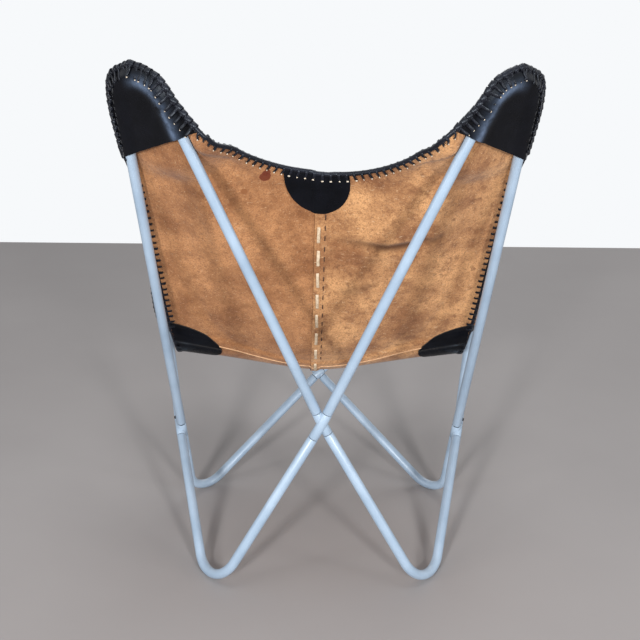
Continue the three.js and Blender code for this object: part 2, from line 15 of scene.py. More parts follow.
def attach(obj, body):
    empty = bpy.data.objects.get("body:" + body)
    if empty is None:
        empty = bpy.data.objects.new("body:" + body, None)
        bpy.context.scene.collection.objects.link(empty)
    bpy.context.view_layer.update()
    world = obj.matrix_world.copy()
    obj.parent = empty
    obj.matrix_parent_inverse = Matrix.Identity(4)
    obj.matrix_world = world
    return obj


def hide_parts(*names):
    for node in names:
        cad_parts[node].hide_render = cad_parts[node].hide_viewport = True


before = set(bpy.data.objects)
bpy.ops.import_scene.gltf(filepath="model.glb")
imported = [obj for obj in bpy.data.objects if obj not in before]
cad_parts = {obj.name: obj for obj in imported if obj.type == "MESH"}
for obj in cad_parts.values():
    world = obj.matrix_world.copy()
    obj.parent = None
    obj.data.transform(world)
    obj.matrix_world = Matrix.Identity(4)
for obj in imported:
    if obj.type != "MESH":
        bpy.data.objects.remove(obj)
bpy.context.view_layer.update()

# %% [markdown]
# The chair's main sizes are in millimetres, as a chair maker would write them, and `MM` turns them
# into Blender's metres. The CAD model is moved so that its box is centred, hence `MIDDLE`. A corner
# is the place where a bent tube's two straight legs would meet, given for the chair's left half.

# %% Sizes shared with the CAD model
MM = 0.001
MIDDLE = 51.4717
TUBE_R, TUBE_WALL = 8.5, 1.8
HOOP_BEND = 51.5
BEND_RADII = {
    "rear_hoop": HOOP_BEND, "rear_foot": 60.0, "front_hoop": HOOP_BEND, "front_foot": 45.0}
REAR_CORNER, FRONT_CORNER = (328, 257, 1040), (348, -418, 474)
REAR_FOOT, FRONT_FOOT = (191, 247), (245, -94)
REAR_CROSSING, FRONT_CROSSING, SIDE_CROSSING = (0, 235, 306), (0, -229, 195), (260, -31, 164)
LAP = 4.0
LEATHER, POCKET_LEATHER, PATCH_LEATHER = 3.0, 2.4, 1.8


def arr(*numbers):
    return np.array(numbers, float)


def unit(vector):
    return vector / np.linalg.norm(vector, axis=-1, keepdims=True)


def add_object(name, data):
    thing = bpy.data.objects.new(name, data)
    bpy.context.scene.collection.objects.link(thing)
    return thing


# %% [markdown]
# ## Camera
#
# The photograph was taken from behind, at about head height and looking down a little.
# The camera's place, tilt and lens come from fitting the straight tubes of the frame to it.
# Blender has helpers that aim a camera, but a matrix built from three directions also holds the
# small roll of a hand-held camera.

# %% The camera
EYE = (30.6, 1927 + MIDDLE, 1134)
PITCH, YAW, ROLL = 0.365, -0.015, 0.014
FOCAL_PIXELS, PICTURE_PIXELS, SENSOR_WIDTH = 1150, 640, 36

forward = arr(math.sin(YAW) * math.cos(PITCH), -math.cos(YAW) * math.cos(PITCH), -math.sin(PITCH))
level_right = unit(np.cross(forward, (0, 0, 1)))
level_up = np.cross(level_right, forward)
picture_right = math.cos(ROLL) * level_right + math.sin(ROLL) * level_up
picture_up = -math.sin(ROLL) * level_right + math.cos(ROLL) * level_up
turn = Matrix((picture_right, picture_up, -forward)).transposed().to_4x4()

camera_data = bpy.data.cameras.new("camera")
camera_data.sensor_width = SENSOR_WIDTH
camera_data.lens = SENSOR_WIDTH * FOCAL_PIXELS / PICTURE_PIXELS
camera_data.clip_end = 60
camera = add_object("camera", camera_data)
camera.matrix_world = Matrix.Translation(Vector(EYE) * MM) @ turn
bpy.context.scene.camera = camera
print("lens", round(camera_data.lens, 1), "mm")

# %% [markdown]
# ## Stage and light
#
# A pale floor ends at the line where the photograph's floor does, and past it there is only the
# white of the world. A backdrop sheet could give that line too, but it would catch shadows.
#
# Every finish in this notebook is noise that runs between two colours or two numbers. `clouded`
# makes one, so the floor needs only a call, and so will the paint, steel and leather. `add_node`
# makes a node and fills its inputs, each with a plain value or from another node's output. An
# output knows its own tree, so a helper that is given one can add to that tree.

# %% Nodes, a material, and noise between two colours
def feed(node, inputs):
    """Fills a node's inputs, each with a plain value or from another node's output."""
    for key, value in inputs.items():
        if isinstance(value, bpy.types.NodeSocket):
            node.id_data.links.new(value, node.inputs[key])
        else:
            node.inputs[key].default_value = value
    return node


def add_node(tree, kind, inputs=(), **settings):
    node = tree.nodes.new(kind)
    for key, value in settings.items():
        setattr(node, key, value)
    return feed(node, dict(inputs))


def new_material(name):
    """A new material, its shader, and the object's own coordinates."""
    material = bpy.data.materials.new(name)
    material.use_nodes = True
    place = add_node(material.node_tree, "ShaderNodeTexCoord").outputs["Object"]
    return material, material.node_tree.nodes["Principled BSDF"], place


def add_noise(place, scale, detail=4.0, rough=0.55):
    return add_node(place.id_data, "ShaderNodeTexNoise", {
        "Vector": place, "Scale": scale, "Detail": detail, "Roughness": rough}).outputs["Fac"]


def clouded(place, scale, detail, low, high, start=0.0, full=1.0, rough=0.55):
    """Noise that is the low colour up to start and the high colour from full on."""
    noise = add_noise(place, scale, detail, rough)
    ramp = add_node(place.id_data, "ShaderNodeValToRGB", {"Fac": noise})
    for element, color, position in zip(ramp.color_ramp.elements, (low, high), (start, full)):
        element.color = (*color, 1)
        element.position = position
    return ramp.outputs["Color"]


# %% Floor and world
FLOOR_END, FLOOR_START, FLOOR_SIDE = (-1739 + MIDDLE) * MM, 12, 9
FLOOR_TONES = (0.315, 0.292, 0.288), (0.37, 0.345, 0.34)
SKY_COLOR, SKY_STRENGTH = (0.9, 0.95, 1.0, 1), 0.19
WALL_COLOR = (0.93, 0.947, 0.965, 1)

floor_finish, shader, place = new_material("pale_floor")
feed(shader, {"Base Color": clouded(place, 2.5, 6, *FLOOR_TONES, rough=0.5), "Roughness": 0.7})
floor_mesh = bpy.data.meshes.new("floor")
floor_mesh.from_pydata([(-FLOOR_SIDE, FLOOR_END, 0), (FLOOR_SIDE, FLOOR_END, 0),
                        (FLOOR_SIDE, FLOOR_START, 0), (-FLOOR_SIDE, FLOOR_START, 0)],
                       [], [(0, 1, 2, 3)])
floor_mesh.materials.append(floor_finish)
add_object("floor", floor_mesh)

world = bpy.data.worlds.new("studio")
bpy.context.scene.world = world
world.use_nodes = True
tree = world.node_tree
sky = feed(tree.nodes["Background"], {"Color": SKY_COLOR, "Strength": SKY_STRENGTH})
wall = add_node(tree, "ShaderNodeBackground", {"Color": WALL_COLOR})
rays = add_node(tree, "ShaderNodeLightPath").outputs
shown = rays["Is Camera Ray"]
for ray in ("Is Glossy Ray", "Is Transmission Ray"):
    either = add_node(tree, "ShaderNodeMath", {0: shown, 1: rays[ray]}, operation="MAXIMUM")
    shown = either.outputs[0]
mix = add_node(tree, "ShaderNodeMixShader", {
    "Fac": shown, 1: sky.outputs["Background"], 2: wall.outputs["Background"]})
feed(tree.nodes["World Output"], {"Surface": mix.outputs["Shader"]})


# %% [markdown]
# A small soft lamp stands on each side of the camera, as the shadows of the tubes on the leather
# show, and weaker ones fill in, so colours render about as they are written. The white is there for
# the camera and for reflections, and a much dimmer sky lights the chair.

# %% Lamps
BACK_REST, SEAT = (0, 0.1, 0.6), (0, 0, 0.4)
WHITE, COOL_WHITE = (1, 1, 1), (0.98, 0.99, 1)
LAMPS = [  # name, place and aim in metres, size, watts, color
    ("left_box", (2.1, 1.5, 0.95), BACK_REST, (0.4, 1.2), 14, COOL_WHITE),
    ("right_box", (-2.1, 1.5, 0.95), BACK_REST, (0.4, 1.2), 14, COOL_WHITE),
    ("left_of_camera", (0.95, 3.05, 1.35), BACK_REST, (0.3, 0.3), 60, WHITE),
    ("right_of_camera", (-0.95, 3.05, 1.35), BACK_REST, (0.3, 0.3), 44, WHITE),
    ("overhead", (0, 0.2, 3.4), SEAT, (1.8, 1.8), 28, WHITE),
    ("front", (-0.8, -3.0, 2.4), SEAT, (1.8, 1.8), 26, WHITE),
]
for name, spot, aim, size, watts, color in LAMPS:
    data = bpy.data.lights.new(name, "AREA")
    data.shape = "RECTANGLE"
    data.size, data.size_y = size
    data.energy, data.color = watts, color
    lamp = add_object(name, data)
    lamp.location = spot
    lamp.rotation_euler = (Vector(aim) - Vector(spot)).to_track_quat("-Z", "Y").to_euler()
    lamp.visible_camera = False
bpy.context.scene.view_settings.view_transform = "Standard"
print("lamps", len(LAMPS))

# %% [markdown]
# ## The bent tubes
#
# Each hoop and foot is one tube bent once: two straight legs and a round bend. A maker marks where
# the straight legs would meet and rolls the bend in. The same rule gives the centre line here,
# and a Geometry Nodes tree sweeps the round section along it.

# %% The rule for one bend
FOOT_WORN, FOOT_ROUNDS, BEND_STEPS = 0.4, 12, 28


def round_bend(corner, end_a, end_b, radius):
    """Where the bend's centre lies, and how it faces."""
    to_a, to_b = unit(end_a - corner), unit(end_b - corner)
    half = math.acos(to_a @ to_b) / 2
    inward = unit(to_a + to_b)
    return {
        "centre": corner + inward * radius / math.sin(half),
        "half": half,
        "inward": inward,
        "across": unit(to_b - to_a),
        "normal": unit(np.cross(to_a, to_b)),
        "radius": radius,
    }


def foot_corner(spot, end_a, end_b, radius):
    """The corner that puts the bend's lowest point just under the floor, where it is worn flat."""
    corner = arr(*spot, 0)
    for _ in range(FOOT_ROUNDS):
        bend = round_bend(corner, end_a, end_b, radius)
        lowest = bend["centre"][2] - radius * math.sqrt(1 - bend["normal"][2] ** 2) - TUBE_R
        corner[2] -= lowest + FOOT_WORN
    return corner


def bent_path(end_a, corner, end_b, radius):
    bend = round_bend(corner, end_a, end_b, radius)
    turned = math.pi - 2 * bend["half"]
    points = [end_a]
    for angle in np.linspace(-turned / 2, turned / 2, BEND_STEPS):
        out = -math.cos(angle) * bend["inward"] + math.sin(angle) * bend["across"]
        points.append(bend["centre"] + out * radius)
    return np.array(points + [end_b]), bend


# %% [markdown]
# Four tubes meet at each crossing, on the spigots of two rods that are lapped and welded. A rod
# ends in a shoulder that a tube butts against. The shoulder must clear the other rod, so its
# distance follows from the sharpest angle between two arms. Only one arm is longer, as the
# photograph shows.

# %% The crossings: two rods lapped, each with an arm into every tube
HANDS = {"left": 1, "right": -1}
BACKWARD = arr(0, 1, 0)
SHOULDER_CLEARANCE, LONG_ARM = 1.6, 28
corners = {}
for hand, side in HANDS.items():
    flip = arr(side, 1, 1)
    crossing, lean, outward = arr(*SIDE_CROSSING) * flip, BACKWARD * side * LAP / 2, arr(side, 0, 0)
    corners[hand] = {
        "crossing": crossing,
        "rear_hoop": arr(*REAR_CORNER) * flip,
        "front_hoop": arr(*FRONT_CORNER) * flip,
        "rear_foot": foot_corner(
            (REAR_FOOT[0] * side, REAR_FOOT[1]), arr(*REAR_CROSSING) + lean,
            crossing + outward * LAP / 2, BEND_RADII["rear_foot"]),
        "front_foot": foot_corner(
            (FRONT_FOOT[0] * side, FRONT_FOOT[1]), arr(*FRONT_CROSSING) + lean,
            crossing - outward * LAP / 2, BEND_RADII["front_foot"]),
    }


def lapped(centre, direction, over, under):
    """Two rods through one crossing: each arm's middle, heading, length and shoulder."""
    arms = {}
    for shift, rod in ((LAP / 2, over), (-LAP / 2, under)):
        middle = centre + direction * shift
        for leg, target in rod.items():
            arms[leg] = {"middle": middle, "heading": unit(target - middle)}
    headings = [arm["heading"] for arm in arms.values()]
    closest = min(math.acos(a @ b) for i, a in enumerate(headings) for b in headings[i + 1:])
    for arm in arms.values():
        arm["length"] = TUBE_R / math.tan(closest / 2) + SHOULDER_CLEARANCE
    return arms


crossings = {}
for end, middle in (("rear", REAR_CROSSING), ("front", FRONT_CROSSING)):
    hoops = {hand: {f"{hand}_hoop": corners[hand][f"{end}_hoop"]} for hand in HANDS}
    feet = {hand: {f"{hand}_foot": corners[hand][f"{end}_foot"]} for hand in HANDS}
    crossings[end] = lapped(
        arr(*middle), BACKWARD, hoops["right"] | feet["left"], hoops["left"] | feet["right"])
for hand, side in HANDS.items():
    tubes = {kind: corners[hand][kind] for kind in BEND_RADII}
    crossings[hand] = lapped(
        corners[hand]["crossing"], arr(side, 0, 0),
        {kind: tubes[kind] for kind in ("front_hoop", "rear_foot")},
        {kind: tubes[kind] for kind in ("rear_hoop", "front_foot")})
crossings["rear"]["left_foot"]["length"] = LONG_ARM
for arms in crossings.values():
    for arm in arms.values():
        arm["shoulder"] = arm["middle"] + arm["heading"] * arm["length"]
print("arms", {k: round(a["length"], 1) for k, a in crossings["left"].items()})

# %% [markdown]
# The sweep tree takes a curve, the tube's radius and its material. A curve object has a bevel of
# its own that would sweep it too, but a tree can be used again for cords and edges with other
# inputs. The curve's own radius at each point scales the section, which is how the cut ends get
# their small filed edge. `finish_tree` adds the steps that both trees of this notebook end with, and
# `baked` runs a tree once and keeps the plain mesh, so nothing is left live.

# %% Geometry Nodes: a round tube along a path
def new_tree(name, inputs):
    """A Geometry Nodes tree, and the inputs that it is given."""
    tree = bpy.data.node_groups.new(name, "GeometryNodeTree")
    tree.interface.new_socket("Geometry", in_out="INPUT", socket_type="NodeSocketGeometry")
    for label, kind, value in inputs:
        socket = tree.interface.new_socket(label, in_out="INPUT", socket_type="NodeSocket" + kind)
        if value is not None:
            socket.default_value = value
    tree.interface.new_socket("Geometry", in_out="OUTPUT", socket_type="NodeSocketGeometry")
    return tree, tree.nodes.new("NodeGroupInput").outputs


def finish_tree(tree, given, shape):
    """Makes the shape real and smooth, gives it its material and hands it out."""
    for kind, more in (("RealizeInstances", {}), ("SetShadeSmooth", {}),
                       ("SetMaterial", {"Material": given["Material"]})):
        made = add_node(tree, "GeometryNode" + kind, {"Geometry": shape, **more})
        shape = made.outputs["Geometry"]
    add_node(tree, "NodeGroupOutput", {"Geometry": shape})
    return tree


def build_sweep_tree():
    tree, given = new_tree("tube_along_path", [
        ("Tube Radius", "Float", 0.0085), ("Sides", "Int", 40), ("Material", "Material", None)])
    section = add_node(tree, "GeometryNodeCurvePrimitiveCircle", {
        "Resolution": given["Sides"], "Radius": given["Tube Radius"]})
    scale = add_node(tree, "GeometryNodeInputNamedAttribute", {"Name": "radius"}, data_type="FLOAT")
    sweep = add_node(tree, "GeometryNodeCurveToMesh", {
        "Curve": given["Geometry"], "Profile Curve": section.outputs["Curve"],
        "Scale": scale.outputs["Attribute"], "Fill Caps": True})
    return finish_tree(tree, given, sweep.outputs["Mesh"])


sweep_tree = build_sweep_tree()


def baked(carrier, tree, name, values):
    """Runs a tree on a carrier object and keeps the plain mesh it makes."""
    modifier = carrier.modifiers.new("nodes", "NODES")
    modifier.node_group = tree
    for socket in tree.interface.items_tree:
        if socket.name in values:
            modifier[socket.identifier] = values[socket.name]
    carrier.update_tag()
    graph = bpy.context.evaluated_depsgraph_get()
    mesh = bpy.data.meshes.new_from_object(carrier.evaluated_get(graph))
    bpy.data.objects.remove(carrier)
    mesh.name = name
    return add_object(name, mesh)


def place_points(points):
    """Millimetres in the chair maker's frame to metres in the CAD frame."""
    return (np.asarray(points, float) + arr(0, MIDDLE, 0)) * MM


FILED_SLOPE = 0.6


def tube_along(name, points, radius, material, filed=0.8, sides=40):
    path = [points[0], points[0] + unit(points[1] - points[0]) * filed, *points[1:-1],
            points[-1] + unit(points[-2] - points[-1]) * filed, points[-1]]
    curve = bpy.data.curves.new(name, "CURVE")
    curve.dimensions = "3D"
    line = curve.splines.new("POLY")
    line.points.add(len(path) - 1)
    for index, (point, place) in enumerate(zip(line.points, place_points(path))):
        point.co = (*place, 1)
        point.radius = 1 - filed * FILED_SLOPE / radius if index in (0, len(path) - 1) else 1
    return baked(add_object(name, curve), sweep_tree, name, {
        "Tube Radius": radius * MM, "Sides": sides, "Material": material})


# %% [markdown]
# ## Painted tube
#
# The frame is sprayed a pale grey-blue, satin rather than glossy. Sprayed paint on tube shows a
# very fine ripple and slightly uneven gloss, so both come from noise. The spigots that show in the
# seams, and the two small screws, are bare steel gone dark with age.

# %% Paint and bare steel
def srgb(red, green, blue):
    def straight(value):
        value /= 255
        return value / 12.92 if value <= 0.04045 else ((value + 0.055) / 1.055) ** 2.4
    return tuple(straight(value) for value in (red, green, blue))


def grey(value):
    return (value,) * 3


def add_bump(height, strength, distance, before=None):
    inputs = {"Height": height, "Strength": strength, "Distance": distance}
    if before is not None:
        inputs["Normal"] = before
    return add_node(height.id_data, "ShaderNodeBump", inputs).outputs["Normal"]


def tube_paint():
    material, shader, place = new_material("tube_paint")
    feed(shader, {
        "Base Color": clouded(place, 14, 5, srgb(150, 171, 192), srgb(168, 188, 208), 0.35, 0.65),
        "Roughness": clouded(place, 60, 3, grey(0.3), grey(0.42)),
        "Normal": add_bump(add_noise(place, 420, 2), 0.12, 0.0006),
        "Coat Weight": 0.25, "Coat Roughness": 0.2})
    return material


def dark_steel():
    material, shader, place = new_material("dark_steel")
    feed(shader, {
        "Base Color": clouded(place, 300, 4, (0.03, 0.032, 0.036), (0.09, 0.09, 0.1), 0.35, 0.7),
        "Roughness": clouded(place, 500, 3, grey(0.35), grey(0.6)),
        "Metallic": 0.8})
    return material


paint, bare_steel = tube_paint(), dark_steel()

# %% [markdown]
# The eight tubes and four crossing pieces take the places of their CAD solids, only rounder. A tube
# stops a hair short of its shoulder, and the dark spigot shows in that seam, as on the real frame.
# Each foot is worn flat where it stands, so its lowest points are pressed up to the floor.
# The two side screws keep their CAD shape and only get a finish.

# %% Hoops and feet
SEAM, SIDE_NECK = 1.1, 3.0
bends = {}


def stand_for(piece, node):
    """The piece takes the place of its CAD node, and moves as the node does."""
    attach(piece, "root")
    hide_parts(node)


for hand in HANDS:
    for kind, radius in BEND_RADII.items():
        end, part = kind.split("_")
        node = f"{kind}_{hand}"
        start, stop = crossings[end][f"{hand}_{part}"], crossings[hand][kind]
        neck = SIDE_NECK if kind == "rear_hoop" else SEAM
        points, bends[node] = bent_path(
            start["shoulder"] + start["heading"] * SEAM, corners[hand][kind],
            stop["shoulder"] + stop["heading"] * neck, radius)
        tube = tube_along(node + "_tube", points, TUBE_R, paint)
        if part == "foot":
            for vertex in tube.data.vertices:
                vertex.co.z = max(vertex.co.z, 0)
        stand_for(tube, node)
    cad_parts[f"side_screw_{hand}"].material_slots[0].material = bare_steel


# %% Crossing pieces
SPIGOT = 34


def join_pieces(name, pieces):
    bpy.context.view_layer.update()
    for piece in bpy.context.selected_objects:
        piece.select_set(False)
    for piece in pieces:
        piece.select_set(True)
    bpy.context.view_layer.objects.active = pieces[0]
    bpy.ops.object.join()
    pieces[0].name = pieces[0].data.name = name
    return pieces[0]


for key, arms in crossings.items():
    node = f"{key}_cross_connector"
    parts, legs = [], list(arms)
    for one, two in (legs[:2], legs[2:]):
        rod = np.array([arms[one]["shoulder"], arms[one]["middle"], arms[two]["shoulder"]])
        parts.append(tube_along(node + one, rod, TUBE_R, paint))
        for arm in (arms[one], arms[two]):
            spigot = arm["shoulder"] + np.outer((-1, SPIGOT), arm["heading"])
            parts.append(tube_along(
                node + "neck", spigot, TUBE_R - TUBE_WALL, bare_steel, sides=28))
    stand_for(join_pieces(node + "_welded", parts), node)

# %% [markdown]
# ## The sling's surface
#
# The sling hangs from four tips, so its shape comes from four edges and a middle line. The middle
# line is the profile that a sitter's back and seat press into. Each half is blended between its
# edges, and near a tip the leather is laid along the hoop. Cloth simulation could hang it too, but
# taut leather barely stretches, and a rule gives the same edges as the CAD model each time.

# %% Smooth curves read by their length
CURVE_STEPS = 60


def walked_length(points):
    """How far along a path each of its points lies."""
    return np.concatenate([[0], np.cumsum(np.linalg.norm(np.diff(points, axis=0), axis=1))])


def read_rows(where, places, rows):
    """Rows that are given at rising places, read in between."""
    return np.stack([np.interp(where, places, column) for column in rows.T], -1)


def even_curve(knots):
    """A smooth curve through the knots (Catmull-Rom, centripetal), read by its share of length."""
    knots = np.array(knots, float)
    count = len(knots)
    ends = np.vstack([2 * knots[0] - knots[1], knots, 2 * knots[-1] - knots[-2]])
    samples = []
    for index in range(count - 1):
        p0, p1, p2, p3 = ends[index:index + 4]
        d0, d1, d2 = (np.linalg.norm(b - a) ** 0.5 for a, b in ((p0, p1), (p1, p2), (p2, p3)))
        t1 = ((p1 - p0) / d0 - (p2 - p0) / (d0 + d1) + (p2 - p1) / d1) * d1
        t2 = ((p2 - p1) / d1 - (p3 - p1) / (d1 + d2) + (p3 - p2) / d2) * d1
        t = np.linspace(0, 1, CURVE_STEPS, endpoint=False)[:, None]
        samples.append(
            p1 + t1 * t + (-3 * p1 + 3 * p2 - 2 * t1 - t2) * t ** 2
            + (2 * p1 - 2 * p2 + t1 + t2) * t ** 3)
    samples = np.vstack(samples + [knots[-1:]])
    lengths = walked_length(samples)
    shares = lengths / lengths[-1]
    return {"at": lambda share: read_rows(share, shares, samples),
            "knots": shares[::CURVE_STEPS], "length": lengths[-1]}


# %% [markdown]
# Knots on a wing are given in wing radii: along towards the tip and across towards the outside. The
# knots of a free edge are given between its two ends, as shares of the way in X, Y and Z.

# %% Places on a wing, and the sling's knots
GAP = 0.3
WING_MARGIN = 7.5
WING_R = HOOP_BEND + TUBE_R + WING_MARGIN
WING_OFFSET = TUBE_R + LEATHER / 2 + GAP
INNER_ROUND = [(0.17, -0.985), (0.707, -0.707)]
OUTER_ROUND = [(0.72, 0.74), (0.17, 1.045)]
FRONT_SHOULDER, REAR_CUFF, FRONT_CUFF = (-0.55, -1.36), (-1.4, 1.32), (-1.2, 1.5)
REAR_SHOULDER = {"left": (-0.626, -1.529), "right": (-0.612, -1.616)}
TOP_EDGE = {
    "left": [(0.12, 0.02, 0.029), (0.37, 0.185, 0.164), (0.657, 0.48, 0.453), (0.86, 0.76, 0.857),
             (0.93, 0.88, 1.035)],
    "right": [(0.12, 0.02, -0.011), (0.37, 0.185, 0.082), (0.657, 0.48, 0.345), (0.86, 0.76, 0.751),
              (0.93, 0.88, 0.977)],
}
BACK_SIDE = [(0.30, 0.263, 0.277), (0.78, 0.794, 0.8325)]
SEAT_SIDE = [(0.2, 0.47, -0.5)]
FRONT_EDGE = [(0.12, 0.02, 0.02), (0.534, 0.375, 0.31)]
BACK_MIDDLE = [(0, 0.152, 0.22), (0, 0.324, 0.452), (0, 0.514, 0.672), (0, 0.738, 0.868)]
BACK_DIP, WAIST, SEAT_LOW, FRONT_DIP = (
    arr(0, 150, 701.7), arr(0, -60, 281), arr(0, -150, 250), arr(0, -303, 306))
WAIST_SIDE = arr(264, -60, 315)


def between(start, stop, shares):
    return [start + (stop - start) * arr(*share) for share in shares]


middle_knots = [BACK_DIP, *between(BACK_DIP, WAIST, BACK_MIDDLE), WAIST,
                *between(WAIST, SEAT_LOW, [(0, 0.5, 0.74)]), SEAT_LOW,
                *between(SEAT_LOW, FRONT_DIP, [(0, 0.52, 0.27)]), FRONT_DIP]
middle_line = even_curve(middle_knots)
middle_waist = middle_line["knots"][5]


def wing_frame(bend, side, towards):
    """A hoop's bend as seen on the +X half: its centre and the three directions of its wing."""
    flip = arr(side, 1, 1)
    seat_side = bend["normal"] * flip
    seat_side = seat_side * np.sign(seat_side @ towards)
    return {"centre": bend["centre"] * flip, "tipward": -bend["inward"] * flip,
            "across": bend["across"] * flip, "seat_side": seat_side, "half": bend["half"]}


def on_wing(wing, share):
    along, across = share
    return (wing["centre"] + wing["tipward"] * along * WING_R + wing["across"] * across * WING_R
            + wing["seat_side"] * WING_OFFSET)


def sling_half(hand):
    side = HANDS[hand]
    rear = wing_frame(bends[f"rear_hoop_{hand}"], side, arr(0, -1, 0))
    front = wing_frame(bends[f"front_hoop_{hand}"], side, arr(0, 0, 1))
    inner = {end: [on_wing(wing, share) for share in INNER_ROUND]
             for end, wing in (("rear", rear), ("front", front))}
    tips = {"rear": on_wing(rear, (1, 0)), "front": on_wing(front, (1, 0))}
    rear_shoulder = on_wing(rear, REAR_SHOULDER[hand])
    front_shoulder = on_wing(front, FRONT_SHOULDER)
    rear_cuff, front_cuff = on_wing(rear, REAR_CUFF), on_wing(front, FRONT_CUFF)
    top = even_curve([BACK_DIP, *between(BACK_DIP, rear_shoulder, TOP_EDGE[hand]), rear_shoulder,
                      *inner["rear"], tips["rear"]])
    low = even_curve([FRONT_DIP, *between(FRONT_DIP, front_shoulder, FRONT_EDGE), front_shoulder,
                      *inner["front"], tips["front"]])
    edge = even_curve([
        tips["rear"], *[on_wing(rear, share) for share in OUTER_ROUND], rear_cuff,
        *between(rear_cuff, WAIST_SIDE, BACK_SIDE), WAIST_SIDE,
        *between(WAIST_SIDE, front_cuff, SEAT_SIDE), front_cuff,
        *[on_wing(front, share) for share in reversed(OUTER_ROUND)], tips["front"]])
    return {"rear": rear, "front": front, "top": top, "low": low, "edge": edge, "tips": tips,
            "edge_waist": edge["knots"][6], "rear_shoulder": top["knots"][6],
            "front_shoulder": low["knots"][3], "rear_cuff": edge["knots"][3],
            "front_cuff": edge["knots"][8]}


halves = {hand: sling_half(hand) for hand in HANDS}
print("edge lengths", {hand: round(half["edge"]["length"]) for hand, half in halves.items()})

# %% [markdown]
# Inside a pocket the two layers of leather close round the tube like the halves of a pod, so their
# edges meet in the hoop's own plane, where they are laced. `tube_distance` says how far outside the
# tube's centre line a point is, and `pod` how high the leather stands over that plane there.

# %% Leather round a tube
def smooth_step(value):
    value = np.clip(value, 0, 1)
    return value * value * (3 - 2 * value)


def fade_out(value, start, width):
    """1 up to the start, then smoothly down to 0 over the width."""
    return 1 - smooth_step((value - start) / width)


def wing_coordinates(points, wing):
    away = points - wing["centre"]
    return away @ wing["tipward"], away @ wing["across"], away @ wing["seat_side"]


def tube_distance(along, across, wing):
    half = wing["half"]
    on_leg = along * math.sin(half) + np.abs(across) * math.cos(half)
    round_part = along * math.cos(half) > np.abs(across) * math.sin(half)
    return np.where(round_part, np.hypot(along, across), on_leg) - HOOP_BEND


POD_LEAVE, POD_SLOPE, SLING_RIM, POCKET_RIM = 0.63, 0.81, 1.8, 1.4


def pod(distance, height, rim):
    """Round the tube to a point on its side, then straight down to the rim."""
    leave = POD_LEAVE * height
    over = np.sqrt(np.maximum(height ** 2 - np.clip(distance, 0, leave) ** 2, 0))
    fall = np.maximum(distance - leave, 0) * POD_SLOPE
    return np.maximum(over - fall, rim)


HOLD, HOLD_ROUND = (1.5, 0.7), 10
LAID_DOWN, LAID_INSIDE, LAID_AHEAD, LAID_REACH = (1.45, 0.8), (1.3, 0.7), (0.6, 0.8), 3.5


def beside_hoop(points, wing):
    """Keeps the leather on the seat side of a hoop, and lays it on the tube near the tip.

    Each step fades out past a distance from the wing's centre, given with its width in wing radii.
    """
    along, across, height = wing_coordinates(points, wing)
    reach = np.sqrt(along ** 2 + across ** 2 + height ** 2) / WING_R
    hold = fade_out(reach, *HOLD)
    held = (height - WING_OFFSET) * (1 - hold)
    wanted = WING_OFFSET + (held + np.hypot(held, HOLD_ROUND * (1 - hold))) / 2
    points = points + (wanted - height)[..., None] * wing["seat_side"]
    laid = fade_out(-along / WING_R, *LAID_DOWN) * fade_out(-across / WING_R, *LAID_INSIDE)
    laid = laid * fade_out(height / WING_R, *LAID_AHEAD) * (reach < LAID_REACH)
    shape = pod(tube_distance(along, across, wing), WING_OFFSET, SLING_RIM)
    drop = (WING_OFFSET - shape) * laid
    return points - drop[..., None] * wing["seat_side"]


def waist_share(v, waist):
    """Turns v, which is 0.5 at the waist, into a share of a curve's length."""
    return np.where(v < 0.5, v * 2 * waist, waist + (v * 2 - 1) * (1 - waist))


def half_sling(reach, v, half):
    """One half's middle surface, worked out on the +X side."""
    weight = reach - reach * (1 - reach) ** 3
    top, low = half["top"]["at"](reach), half["low"]["at"](reach)
    middle = middle_line["at"](waist_share(v, middle_waist))
    edge = half["edge"]["at"](waist_share(v, half["edge_waist"]))
    weights = np.stack([reach, weight, weight], -1)
    base = middle + (edge - middle) * weights
    top_rest = top - (BACK_DIP + (half["tips"]["rear"] - BACK_DIP) * weights)
    low_rest = low - (FRONT_DIP + (half["tips"]["front"] - FRONT_DIP) * weights)
    near_top = np.maximum(1 - 2 * v, 0)[..., None] ** 2
    near_low = np.maximum(2 * v - 1, 0)[..., None] ** 2
    points = base + near_top * top_rest + near_low * low_rest
    return beside_hoop(beside_hoop(points, half["rear"]), half["front"])


def sling(u, v):
    """The sling's middle surface; u is -1 to 1 across it, and v 0 at the top to 1 at the front."""
    u, v = np.broadcast_arrays(np.asarray(u, float), np.asarray(v, float))
    on_left = half_sling(np.abs(u), v, halves["left"])
    on_right = half_sling(np.abs(u), v, halves["right"]) * arr(-1, 1, 1)
    return np.where((u >= 0)[..., None], on_left, on_right)


SLOPE_STEP = 0.003


def sling_back(u, v):
    """The direction out of the sling's back, away from the sitter."""
    u = np.clip(u, -1 + 2 * SLOPE_STEP, 1 - 2 * SLOPE_STEP)
    v = np.clip(v, 2 * SLOPE_STEP, 1 - 2 * SLOPE_STEP)
    along_u = sling(u + SLOPE_STEP, v) - sling(u - SLOPE_STEP, v)
    along_v = sling(u, v + SLOPE_STEP) - sling(u, v - SLOPE_STEP)
    return unit(np.cross(along_u, along_v))


print("middle of the waist", np.round(sling(0.0, 0.5), 1))

# %% [markdown]
# ## Making a piece of leather
#
# A piece of leather is a grid of points on the sling, thickened to both sides and closed round its
# rim. A Solidify modifier could thicken it, but here the back of each point is already known. The
# sitter's face, the rough back and the cut edge are three finishes of one hide, so they are three
# material slots. The right-hand panels have a fourth, for the edge that shows down the middle.

# %% From a grid of points to a closed sheet
SHARP_ANGLE = math.radians(50)


def grid_normals(points):
    down = np.gradient(points, axis=0)
    across = np.gradient(points, axis=1)
    return unit(np.cross(across, down))


